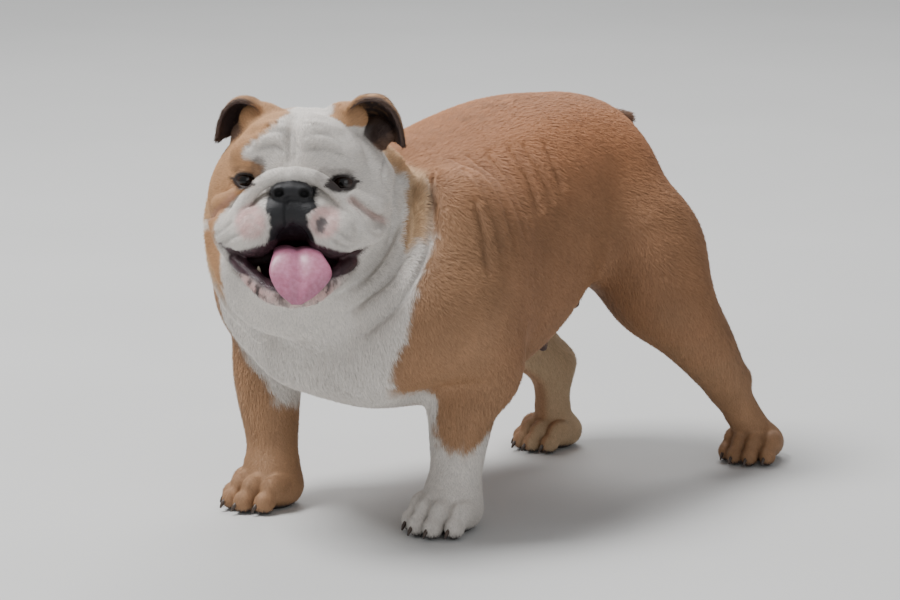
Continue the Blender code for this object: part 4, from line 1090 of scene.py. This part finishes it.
def scaleColour(tree, colour, amount):
    # multiplies a colour by a number
    node = addNode(tree, "ShaderNodeVectorMath", operation="SCALE")
    tree.links.new(colour, node.inputs[0])
    tree.links.new(amount, node.inputs["Scale"])
    return node.outputs[0]


def ranged(tree, value, low, high, first=0.0, last=1.0):
    node = addNode(tree, "ShaderNodeMapRange")
    for key, number in (("From Min", first), ("From Max", last), ("To Min", low), ("To Max", high)):
        node.inputs[key].default_value = number
    tree.links.new(value, node.inputs["Value"])
    return node.outputs["Result"]


skinFinish = {"dryRoughness": 0.68, "wetRoughness": 0.24, "hairScale": 620.0, "poreScale": 900.0,
              "bump": 0.0005}


def makeSkinMaterial():
    material = bpy.data.materials.new("skin")
    tree, shader = nodeTree(material)
    tint = attributeNode(tree, "tint")
    wet = attributeNode(tree, "wet")
    bare = attributeNode(tree, "bare")
    mottle = noiseNode(tree, 160.0, 4.0)
    uneven = ranged(tree, mottle.outputs["Fac"], 0.84, 1.16, 0.25, 0.75)
    colour = scaleColour(tree, tint.outputs["Color"], uneven)
    tree.links.new(colour, shader.inputs["Base Color"])
    rough = ranged(tree, wet.outputs["Fac"], skinFinish["dryRoughness"], skinFinish["wetRoughness"])
    tree.links.new(rough, shader.inputs["Roughness"])
    hair = noiseNode(tree, skinFinish["hairScale"], 2.0)
    place = addNode(tree, "ShaderNodeTexCoord")
    pores = addNode(tree, "ShaderNodeTexVoronoi", Scale=skinFinish["poreScale"])
    tree.links.new(place.outputs["Object"], pores.inputs["Vector"])
    blend = addNode(tree, "ShaderNodeMix", data_type="FLOAT")
    tree.links.new(bare.outputs["Fac"], blend.inputs[0])
    tree.links.new(hair.outputs["Fac"], blend.inputs[2])
    tree.links.new(pores.outputs["Distance"], blend.inputs[3])
    bump = addNode(tree, "ShaderNodeBump", Strength=0.6, Distance=skinFinish["bump"])
    tree.links.new(blend.outputs[0], bump.inputs["Height"])
    tree.links.new(bump.outputs["Normal"], shader.inputs["Normal"])
    shader.inputs["Specular IOR Level"].default_value = 0.4
    return material


coatFinish = {"roughness": 0.62, "specular": 0.30, "root": 0.80, "tip": 1.12, "vary": 0.13}


def makeCoatMaterial():
    material = bpy.data.materials.new("coat")
    tree, shader = nodeTree(material)
    tint = attributeNode(tree, "tint")
    along = attributeNode(tree, "along")
    shade = attributeNode(tree, "shade")
    vary = coatFinish["vary"]
    paling = ranged(tree, along.outputs["Fac"], coatFinish["root"], coatFinish["tip"])
    colour = scaleColour(tree, tint.outputs["Color"], paling)
    colour = scaleColour(tree, colour, ranged(tree, shade.outputs["Fac"], 1 - vary, 1 + vary))
    tree.links.new(colour, shader.inputs["Base Color"])
    shader.inputs["Roughness"].default_value = coatFinish["roughness"]
    shader.inputs["Specular IOR Level"].default_value = coatFinish["specular"]
    return material


skinMaterial = makeSkinMaterial()
coatMaterial = makeCoatMaterial()
skin.data.materials.clear()
skin.data.materials.append(skinMaterial)


def makeBlade():
    # one tuft of hair, 1 long along +Y and 1 wide, rising a little towards its tip
    points = [(-0.5, 0, -0.03), (0.5, 0, -0.03), (0.40, 0.52, 0.115), (-0.40, 0.52, 0.115), (0, 1.0, 0.165)]
    mesh = bpy.data.meshes.new("blade")
    mesh.from_pydata(points, [], [(0, 1, 2, 3), (3, 2, 4)])
    layer = mesh.uv_layers.new(name="blade")
    for loop in mesh.loops:
        x, y, _ = points[loop.vertex_index]
        layer.data[loop.index].uv = (x + 0.5, y)
    keepAttribute(mesh, "along", "FLOAT", [p[1] for p in points])
    return meshObject("blade", mesh)


proxyTriangles = 6000


def makeProxy(source):
    # a coarse copy of the skin, unwrapped, that says where on the unwrap each tuft stands
    item = meshObject("proxy", source.data.copy())
    item.data.calc_loop_triangles()
    thin = item.modifiers.new("thin", "DECIMATE")
    thin.ratio = proxyTriangles / len(item.data.loop_triangles)
    settled(item)
    while item.data.uv_layers:
        item.data.uv_layers.remove(item.data.uv_layers[0])
    bpy.context.view_layer.objects.active = item
    for other in bpy.context.selected_objects:
        other.select_set(False)
    item.select_set(True)
    bpy.ops.object.mode_set(mode="EDIT")
    bpy.ops.mesh.select_all(action="SELECT")
    bpy.ops.uv.smart_project(angle_limit=math.radians(66), island_margin=0.004)
    bpy.ops.object.mode_set(mode="OBJECT")
    item.data.uv_layers[0].name = "unwrap"
    item.select_set(False)
    return item


coat = {"density": 660000.0, "width": 0.115, "spread": 0.30, "lift": 0.10, "patch": 0.003, "seed": 5,
        "fullLength": 0.0078, "crowding": 0.9, "boxMargin": 0.0003}


def coatTree(blade, proxy):
    # tufts over one part of the skin, laid along "lie", sized by "long", thinned out by "crowd"
    tree = bpy.data.node_groups.new("short coat", "GeometryNodeTree")
    tree.interface.new_socket("Skin", in_out="INPUT", socket_type="NodeSocketGeometry")
    kinds = {"Int": ("Part", "Seed"), "Float": ("Density", "Width", "Spread", "Lift", "Patch"),
             "Vector": ("Low", "High")}
    for kind, names in kinds.items():
        for name in names:
            tree.interface.new_socket(name, in_out="INPUT", socket_type="NodeSocket" + kind)
    tree.interface.new_socket("Coat", in_out="OUTPUT", socket_type="NodeSocketGeometry")
    start = addNode(tree, "NodeGroupInput")
    end = addNode(tree, "NodeGroupOutput")
    link = tree.links.new

    def named(name, kind):
        node = addNode(tree, "GeometryNodeInputNamedAttribute", data_type=kind)
        node.inputs["Name"].default_value = name
        return node.outputs["Attribute"]

    def math2(operation, a, b):
        node = addNode(tree, "ShaderNodeMath", operation=operation)
        for socket, value in zip(node.inputs, (a, b)):
            if isinstance(value, (int, float)):
                socket.default_value = value
            else:
                link(value, socket)
        return node.outputs[0]

    def drawn(low, high, number, kind="FLOAT"):
        node = addNode(tree, "FunctionNodeRandomValue", data_type=kind)
        for socket in node.inputs:
            if socket.enabled and socket.name == "Min":
                socket.default_value = low
            if socket.enabled and socket.name == "Max":
                socket.default_value = high
        link(math2("ADD", start.outputs["Seed"], number), node.inputs["Seed"])
        return next(s for s in node.outputs if s.enabled)

    same = addNode(tree, "FunctionNodeCompare", data_type="INT", operation="EQUAL")
    ints = [s for s in same.inputs if s.enabled]
    link(named("part", "INT"), ints[0])
    link(start.outputs["Part"], ints[1])
    spread = addNode(tree, "GeometryNodeDistributePointsOnFaces", distribute_method="RANDOM")
    link(start.outputs["Skin"], spread.inputs["Mesh"])
    link(same.outputs[0], spread.inputs["Selection"])
    link(math2("MULTIPLY", start.outputs["Density"], named("crowd", "FLOAT")), spread.inputs["Density"])
    link(start.outputs["Seed"], spread.inputs["Seed"])
    sway = addNode(tree, "ShaderNodeVectorMath", operation="SCALE")
    link(drawn((-1, -1, -1), (1, 1, 1), 1, "FLOAT_VECTOR"), sway.inputs[0])
    link(start.outputs["Spread"], sway.inputs["Scale"])
    way = addNode(tree, "ShaderNodeVectorMath", operation="ADD")
    link(named("lie", "FLOAT_VECTOR"), way.inputs[0])
    link(sway.outputs[0], way.inputs[1])
    tip = addNode(tree, "ShaderNodeVectorMath", operation="SCALE")
    link(drawn((-1, -1, -1), (1, 1, 1), 2, "FLOAT_VECTOR"), tip.inputs[0])
    link(start.outputs["Lift"], tip.inputs["Scale"])
    up = addNode(tree, "ShaderNodeVectorMath", operation="ADD")
    link(spread.outputs["Normal"], up.inputs[0])
    link(tip.outputs[0], up.inputs[1])
    turn = addNode(tree, "FunctionNodeAxesToRotation", primary_axis="Z", secondary_axis="Y")
    link(up.outputs[0], turn.inputs[0])
    link(way.outputs[0], turn.inputs[1])
    long = math2("MULTIPLY", named("long", "FLOAT"), drawn(0.7, 1.25, 3))
    wide = math2("MULTIPLY", named("long", "FLOAT"), start.outputs["Width"])
    wide = math2("MULTIPLY", wide, drawn(0.7, 1.3, 4))
    size = addNode(tree, "ShaderNodeCombineXYZ")
    link(wide, size.inputs[0])
    link(long, size.inputs[1])
    link(long, size.inputs[2])
    root = addNode(tree, "GeometryNodeSampleNearestSurface", data_type="FLOAT_VECTOR")
    sheet = addNode(tree, "GeometryNodeObjectInfo")
    sheet.inputs["Object"].default_value = proxy
    link(sheet.outputs["Geometry"], root.inputs["Mesh"])
    values = [s for s in root.inputs if s.enabled and s.name == "Value"]
    link(named("unwrap", "FLOAT_VECTOR"), values[0])
    rootUv = addNode(tree, "GeometryNodeStoreNamedAttribute", data_type="FLOAT_VECTOR", domain="POINT")
    rootUv.inputs["Name"].default_value = "rootUv"
    link(spread.outputs["Points"], rootUv.inputs["Geometry"])
    link(next(s for s in root.outputs if s.enabled and s.name == "Value"), next(
        s for s in rootUv.inputs if s.enabled and s.name == "Value"))
    shade = addNode(tree, "GeometryNodeStoreNamedAttribute", data_type="FLOAT", domain="POINT")
    shade.inputs["Name"].default_value = "shade"
    link(rootUv.outputs[0], shade.inputs["Geometry"])
    link(drawn(0.0, 1.0, 5), next(s for s in shade.inputs if s.enabled and s.name == "Value"))
    tuft = addNode(tree, "GeometryNodeObjectInfo")
    tuft.inputs["Object"].default_value = blade
    place = addNode(tree, "GeometryNodeInstanceOnPoints")
    link(shade.outputs[0], place.inputs["Points"])
    link(tuft.outputs["Geometry"], place.inputs["Instance"])
    link(turn.outputs[0], place.inputs["Rotation"])
    link(size.outputs[0], place.inputs["Scale"])
    real = addNode(tree, "GeometryNodeRealizeInstances")
    link(place.outputs[0], real.inputs[0])
    inPatch = addNode(tree, "ShaderNodeVectorMath", operation="SUBTRACT")
    link(named("blade", "FLOAT_VECTOR"), inPatch.inputs[0])
    inPatch.inputs[1].default_value = (0.5, 0.5, 0)
    shrunk = addNode(tree, "ShaderNodeVectorMath", operation="SCALE")
    link(inPatch.outputs[0], shrunk.inputs[0])
    link(start.outputs["Patch"], shrunk.inputs["Scale"])
    onSheet = addNode(tree, "ShaderNodeVectorMath", operation="ADD")
    link(named("rootUv", "FLOAT_VECTOR"), onSheet.inputs[0])
    link(shrunk.outputs[0], onSheet.inputs[1])
    bake = addNode(tree, "GeometryNodeStoreNamedAttribute", data_type="FLOAT2", domain="CORNER")
    bake.inputs["Name"].default_value = "OFBake"
    # no hair leaves the box of the solids
    above = addNode(tree, "ShaderNodeVectorMath", operation="MAXIMUM")
    link(addNode(tree, "GeometryNodeInputPosition").outputs[0], above.inputs[0])
    link(start.outputs["Low"], above.inputs[1])
    below = addNode(tree, "ShaderNodeVectorMath", operation="MINIMUM")
    link(above.outputs[0], below.inputs[0])
    link(start.outputs["High"], below.inputs[1])
    boxed = addNode(tree, "GeometryNodeSetPosition")
    link(real.outputs[0], boxed.inputs["Geometry"])
    link(below.outputs[0], boxed.inputs["Position"])
    link(boxed.outputs[0], bake.inputs["Geometry"])
    link(onSheet.outputs[0], next(s for s in bake.inputs if s.enabled and s.name == "Value"))
    finish = addNode(tree, "GeometryNodeSetMaterial")
    finish.inputs["Material"].default_value = coatMaterial
    link(bake.outputs[0], finish.inputs["Geometry"])
    link(finish.outputs[0], end.inputs[0])
    return tree


coatParts = ["face"] + [part + side for part in ("skull", "chest", "ribs", "rump", "leg_front", "leg_rear")
                        for side in ("_left", "_right")]


def partOf(centres):
    # which piece of the coat each face of the skin belongs to
    x, y, z = centres.T
    local = toHead(centres)
    left = np.where(x > 0, 0, 1)
    number = np.where(y < -0.06, 3, np.where(y < 0.09, 5, 7)) + left
    number = np.where(z < 0.14, np.where(y < 0.03, 9, 11) + left, number)
    head = np.linalg.norm(local - (0, 0.035, -0.02), axis=1) < 0.118
    return np.where(head, np.where(local[:, 1] < 0.012, 0, np.where(local[:, 0] > 0, 1, 2)), number)


def makeCoat(skin, blade, proxy):
    mesh = skin.data
    cover = np.empty(len(mesh.vertices), np.float32)
    long = np.empty(len(mesh.vertices), np.float32)
    mesh.attributes["cover"].data.foreach_get("value", cover)
    mesh.attributes["long"].data.foreach_get("value", long)
    # shorter hair stands closer together
    keepAttribute(mesh, "crowd", "FLOAT", cover * (coat["fullLength"] / long) ** coat["crowding"])
    centres = np.empty(len(mesh.polygons) * 3, np.float32)
    mesh.polygons.foreach_get("center", centres)
    layer = mesh.attributes.new("part", "INT", "FACE")
    layer.data.foreach_set("value", partOf(centres.reshape(-1, 3).astype(float)).astype(np.int32))
    tree = coatTree(blade, proxy)
    low = [float(c) + coat["boxMargin"] for c in np.array(cadBounds[0]) - toMiddle]
    high = [float(c) - coat["boxMargin"] for c in np.array(cadBounds[1]) - toMiddle]
    named = {item.name: item.identifier for item in tree.interface.items_tree if item.in_out == "INPUT"}
    pieces = []
    total = 0
    for number, name in enumerate(coatParts):
        host = meshObject("host", mesh)
        grow = host.modifiers.new("coat", "NODES")
        grow.node_group = tree
        for key, value in (("Part", number), ("Density", coat["density"]), ("Width", coat["width"]),
                           ("Spread", coat["spread"]), ("Lift", coat["lift"]),
                           ("Seed", coat["seed"] + 10 * number), ("Patch", coat["patch"]),
                           ("Low", low), ("High", high)):
            grow[named[key]] = value
        graph = bpy.context.evaluated_depsgraph_get()
        held = bpy.data.meshes.new_from_object(host.evaluated_get(graph), preserve_all_data_layers=True,
                                               depsgraph=graph)
        bpy.data.objects.remove(host)
        piece = meshObject("coat_" + name, held)
        held.calc_loop_triangles()
        total += len(held.loop_triangles)
        print("coat", name, len(held.loop_triangles))
        pieces.append(piece)
    print("coat triangles", total)
    return pieces


blade = makeBlade()
proxy = makeProxy(skin)
coatPieces = makeCoat(skin, blade, proxy)
bpy.data.objects.remove(blade)
bpy.data.objects.remove(proxy)


def tubeMesh(name, rings):
    # skins a stack of equal rings and closes its ends
    size = len(rings[0])
    points = [tuple(p) for ring in rings for p in ring]
    faces = []
    for i in range(len(rings) - 1):
        for j in range(size):
            k = (j + 1) % size
            faces.append((i * size + j, i * size + k, (i + 1) * size + k, (i + 1) * size + j))
    last = (len(rings) - 1) * size
    faces += [tuple(range(size)), tuple(range(last, last + size))]
    mesh = bpy.data.meshes.new(name)
    mesh.from_pydata(points, [], faces)
    turnedOut(mesh)
    mesh.shade_smooth()
    return mesh


eyeLook = {"radius": 0.0121, "bulge": 0.0007, "pupil": 0.34, "iris": 0.82}


def makeEyeMaterial():
    material = bpy.data.materials.new("eye")
    tree, shader = nodeTree(material)
    ring = attributeNode(tree, "ring")
    ramp = addNode(tree, "ShaderNodeValToRGB")
    pupil, iris = eyeLook["pupil"], eyeLook["iris"]
    stops = ((0.0, (0.004, 0.003, 0.003)), (pupil, (0.006, 0.004, 0.003)),
             (pupil + 0.05, (0.022, 0.010, 0.006)), (iris - 0.12, (0.030, 0.013, 0.007)),
             (iris, (0.008, 0.006, 0.005)), (iris + 0.12, (0.11, 0.075, 0.065)))
    while len(ramp.color_ramp.elements) < len(stops):
        ramp.color_ramp.elements.new(0.5)
    for element, (place, colour) in zip(ramp.color_ramp.elements, stops):
        element.position = place
        element.color = (*colour, 1)
    tree.links.new(ring.outputs["Fac"], ramp.inputs["Fac"])
    streaks = noiseNode(tree, 900.0, 2.0)
    uneven = ranged(tree, streaks.outputs["Fac"], 0.75, 1.25, 0.3, 0.7)
    colour = scaleColour(tree, ramp.outputs["Color"], uneven)
    tree.links.new(colour, shader.inputs["Base Color"])
    shader.inputs["Roughness"].default_value = 0.20
    shader.inputs["Specular IOR Level"].default_value = 0.25
    shader.inputs["Coat Weight"].default_value = 0.55
    shader.inputs["Coat Roughness"].default_value = 0.03
    return material


def makeEye(name, side, material):
    form = bmesh.new()
    bmesh.ops.create_uvsphere(form, u_segments=56, v_segments=40, radius=eyeLook["radius"])
    mesh = bpy.data.meshes.new(name)
    form.to_mesh(mesh)
    form.free()
    points = meshPoints(mesh)
    # the sphere's top becomes the side that looks out
    angle = np.arccos(np.clip(points[:, 2] / eyeLook["radius"], -1, 1))
    bulge = eyeLook["bulge"] * (1 - smoothStep(angle, 0.0, 0.75))
    points *= (1 + bulge / eyeLook["radius"])[:, None]
    keepAttribute(mesh, "ring", "FLOAT", angle)
    out = np.array((0.05 * side, -1.0, -0.02))
    spin = np.array(Vector(out).to_track_quat("Z", "Y").to_matrix())
    world = points @ spin.T + np.array(eye["at"]) * (side, 1, 1)
    mesh.vertices.foreach_set("co", fromHead(world).astype(np.float32).ravel())
    mesh.update()
    mesh.shade_smooth()
    mesh.materials.append(material)
    return meshObject(name, mesh)


tongue = {
    "path": ((0, 0.022, -0.066), (0.002, -0.010, -0.062), (0.0050, -0.036, -0.0645),
             (0.0085, -0.0505, -0.081), (0.0068, -0.0560, -0.098), (0.0055, -0.0575, -0.1090)),
    "halfWidth": (0.018, 0.020, 0.0225, 0.0285, 0.0185, 0.0045),
    "halfThick": (0.0050, 0.0050, 0.0048, 0.0042, 0.0036, 0.0026),
    "groove": 0.0022,
}


def makeTongueMaterial():
    material = bpy.data.materials.new("tongue")
    tree, shader = nodeTree(material)
    mottle = noiseNode(tree, 260.0, 4.0)
    ramp = addNode(tree, "ShaderNodeValToRGB")
    ramp.color_ramp.elements[0].position = 0.3
    ramp.color_ramp.elements[0].color = (0.40, 0.130, 0.205, 1)
    ramp.color_ramp.elements[1].position = 0.75
    ramp.color_ramp.elements[1].color = (0.52, 0.205, 0.310, 1)
    tree.links.new(mottle.outputs["Fac"], ramp.inputs["Fac"])
    tree.links.new(ramp.outputs["Color"], shader.inputs["Base Color"])
    place = addNode(tree, "ShaderNodeTexCoord")
    pores = addNode(tree, "ShaderNodeTexVoronoi", Scale=1100.0)
    tree.links.new(place.outputs["Object"], pores.inputs["Vector"])
    bump = addNode(tree, "ShaderNodeBump", Strength=0.5, Distance=0.0003)
    tree.links.new(pores.outputs["Distance"], bump.inputs["Height"])
    tree.links.new(bump.outputs["Normal"], shader.inputs["Normal"])
    shader.inputs["Roughness"].default_value = 0.42
    shader.inputs["Subsurface Weight"].default_value = 0.12
    shader.inputs["Subsurface Radius"].default_value = (0.004, 0.0015, 0.001)
    shader.inputs["Coat Weight"].default_value = 0.25
    shader.inputs["Coat Roughness"].default_value = 0.2
    return material


def makeTongue():
    rows = smoothRows(np.column_stack([tongue["path"], tongue["halfWidth"], tongue["halfThick"]]), 9)
    rings = []
    for i, (x, y, z, wide, thick) in enumerate(rows):
        way = rows[min(i + 1, len(rows) - 1)][:3] - rows[max(i - 1, 0)][:3]
        up = np.array((0, way[2], -way[1])) / np.linalg.norm(way[1:])
        ring = []
        for a in np.linspace(0, 2 * math.pi, 40, endpoint=False):
            across, over = math.cos(a) * wide, math.sin(a) * thick
            dip = tongue["groove"] * math.exp(-((across / 0.0045) ** 2)) if over > 0 else 0
            ripple = 0.0004 * math.sin(90 * z + 3 * a)
            ring.append(np.array((x + across, y, z)) + up * (over * 0.94 - dip + ripple))
        rings.append(fromMuzzle(ring))
    mesh = tubeMesh("tongue", rings)
    mesh.materials.append(makeTongueMaterial())
    return meshObject("tongue.001", mesh)


canine = {"root": (0.0300, -0.0240, -0.0940), "tip": (0.0310, -0.0262, -0.0765), "radius": 0.0028}


def makeToothMaterial():
    material = bpy.data.materials.new("tooth")
    tree, shader = nodeTree(material)
    stain = noiseNode(tree, 300.0, 3.0)
    ramp = addNode(tree, "ShaderNodeValToRGB")
    ramp.color_ramp.elements[0].color = (0.52, 0.42, 0.27, 1)
    ramp.color_ramp.elements[1].color = (0.78, 0.72, 0.58, 1)
    tree.links.new(stain.outputs["Fac"], ramp.inputs["Fac"])
    tree.links.new(ramp.outputs["Color"], shader.inputs["Base Color"])
    shader.inputs["Roughness"].default_value = 0.25
    return material


def makeCanine(name, side, material):
    root, tip = np.array(canine["root"]), np.array(canine["tip"])
    rings = []
    for share in np.linspace(0, 1, 14):
        width = canine["radius"] * math.sqrt(max(1 - share ** 2.2, 0.012))
        middle = root + (tip - root) * share + (0, 0.0012 * math.sin(math.pi * share), 0)
        rings.append(fromMuzzle([middle + width * np.array((math.cos(a), math.sin(a), 0))
                               for a in np.linspace(0, 2 * math.pi, 20, endpoint=False)], side))
    mesh = tubeMesh(name, rings)
    mesh.materials.append(material)
    return meshObject(name, mesh)


claw = {"path": ((0, -0.030, 0.0150), (0, -0.043, 0.0135), (0, -0.0515, 0.0090), (0, -0.0550, 0.0042)),
        "radii": (0.0030, 0.0031, 0.0024, 0.0010)}


def makeClawMaterial():
    material = bpy.data.materials.new("claw")
    tree, shader = nodeTree(material)
    grain = noiseNode(tree, 500.0, 3.0)
    ramp = addNode(tree, "ShaderNodeValToRGB")
    ramp.color_ramp.elements[0].color = (0.030, 0.022, 0.018, 1)
    ramp.color_ramp.elements[1].color = (0.110, 0.075, 0.055, 1)
    tree.links.new(grain.outputs["Fac"], ramp.inputs["Fac"])
    tree.links.new(ramp.outputs["Color"], shader.inputs["Base Color"])
    shader.inputs["Roughness"].default_value = 0.32
    return material


def makeClaw(name, leg, size, toe, material):
    spin = np.array(Matrix.Rotation(math.radians(leg["turn"]), 3, "Z"))
    shift = (toe[0] * 1.06, toe[1] + 0.0330, 0)
    rows = smoothRows(np.column_stack([claw["path"], claw["radii"]]), 5)
    rings = []
    for i, row in enumerate(rows):
        way = rows[min(i + 1, len(rows) - 1)][:3] - rows[max(i - 1, 0)][:3]
        up = np.array((0, -way[2], way[1])) / np.linalg.norm(way)
        ring = []
        for a in np.linspace(0, 2 * math.pi, 14, endpoint=False):
            place = (row[:3] + shift) * size
            place = place + row[3] * 0.97 * size * (math.cos(a) * np.array((0.8, 0, 0)) + math.sin(a) * up)
            ring.append(spin @ place + (leg["foot"][0], leg["foot"][1], 0))
        rings.append(ring)
    mesh = tubeMesh(name, rings)
    mesh.materials.append(material)
    return meshObject(name, mesh)


eyeMaterial = makeEyeMaterial()
toothMaterial = makeToothMaterial()
clawMaterial = makeClawMaterial()
fleshNodes = ["head", "neck", "torso", "tail", "nose", "ear_left", "ear_right"]
fleshNodes += ["leg_%s_%s" % (end, side) for end in ("front", "rear") for side in ("left", "right")]
finished = [(skin, "coat", fleshNodes)]
finished += [(piece, "coat", []) for piece in coatPieces]
for side, sign in (("left", 1), ("right", -1)):
    finished.append((makeEye("eyeball_" + side, sign, eyeMaterial), "eye", ["eye_" + side]))
    finished.append((makeCanine("tooth_" + side, sign, toothMaterial), "tooth", ["canine_" + side]))
finished.append((makeTongue(), "tongue", ["tongue"]))
for end, legs in (("front", frontLegs), ("rear", rearLegs)):
    for side, leg in legs.items():
        for number, toe in enumerate(paw["toes"], 1):
            name = "%s_%s_%d" % (end, side, number)
            nail = makeClaw("nail_" + name, leg, paw[end], toe, clawMaterial)
            finished.append((nail, "claw", ["claw_" + name]))
for piece, slot, nodes in finished:
    piece.data.transform(Matrix.Translation(toMiddle))
    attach(piece, bodyName)
    if nodes:
        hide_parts(*nodes)
print("pieces ready:", len(finished))


floorLook = {"size": 60.0, "darker": (0.60, 0.60, 0.59, 1), "paler": (0.66, 0.66, 0.65, 1), "roughness": 0.9}


def makeFloor():
    bpy.ops.mesh.primitive_plane_add(size=floorLook["size"], location=(0, 0, 0))
    floor = bpy.context.object
    floor.name = "floor"
    material = bpy.data.materials.new("floor")
    tree, shader = nodeTree(material)
    grain = noiseNode(tree, 3.0, 2.0)
    ramp = addNode(tree, "ShaderNodeValToRGB")
    ramp.color_ramp.elements[0].color = floorLook["darker"]
    ramp.color_ramp.elements[1].color = floorLook["paler"]
    tree.links.new(grain.outputs["Fac"], ramp.inputs["Fac"])
    tree.links.new(ramp.outputs["Color"], shader.inputs["Base Color"])
    shader.inputs["Roughness"].default_value = floorLook["roughness"]
    floor.data.materials.append(material)


surround = {"colour": (0.95, 0.97, 1.0, 1), "strength": 0.37}
lights = {
    "key": {"at": (-1.0, -1.3, 3.5), "size": 1.4, "power": 175.0},
    "side": {"at": (3.2, -1.6, 1.4), "size": 2.2, "power": 20.0},
    "back": {"at": (-1.4, 1.8, 3.0), "size": 1.8, "power": 60.0},
}


def makeLights():
    for name, light in lights.items():
        data = bpy.data.lights.new(name, "AREA")
        data.energy = light["power"]
        data.size = light["size"]
        item = bpy.data.objects.new(name, data)
        item.location = light["at"]
        item.rotation_euler = (Vector((0, 0, 0.2)) - Vector(light["at"])).to_track_quat("-Z", "Y").to_euler()
        bpy.context.scene.collection.objects.link(item)
    world = bpy.data.worlds.new("studio")
    world.use_nodes = True
    shade = world.node_tree.nodes["Background"]
    shade.inputs["Color"].default_value = surround["colour"]
    shade.inputs["Strength"].default_value = surround["strength"]
    bpy.context.scene.world = world


camera = {"azimuth": 43.0, "elevation": 12.0, "distance": 4.5, "aim": (-0.023, 0.004, 0.186),
          "pixelsPerMetre": 1030.0, "pictureWidth": 900, "sensor": 36.0}


def makeCamera():
    a, e = math.radians(camera["azimuth"]), math.radians(camera["elevation"])
    back = Vector((math.sin(a) * math.cos(e), -math.cos(a) * math.cos(e), math.sin(e)))
    data = bpy.data.cameras.new("camera")
    data.sensor_width = camera["sensor"]
    data.lens = camera["sensor"] * camera["pixelsPerMetre"] * camera["distance"] / camera["pictureWidth"]
    data.clip_end = 200
    item = bpy.data.objects.new("camera", data)
    item.location = Vector(camera["aim"]) + back * camera["distance"]
    item.rotation_euler = back.to_track_quat("Z", "Y").to_euler()
    bpy.context.scene.collection.objects.link(item)
    bpy.context.scene.camera = item


makeFloor()
makeLights()
makeCamera()
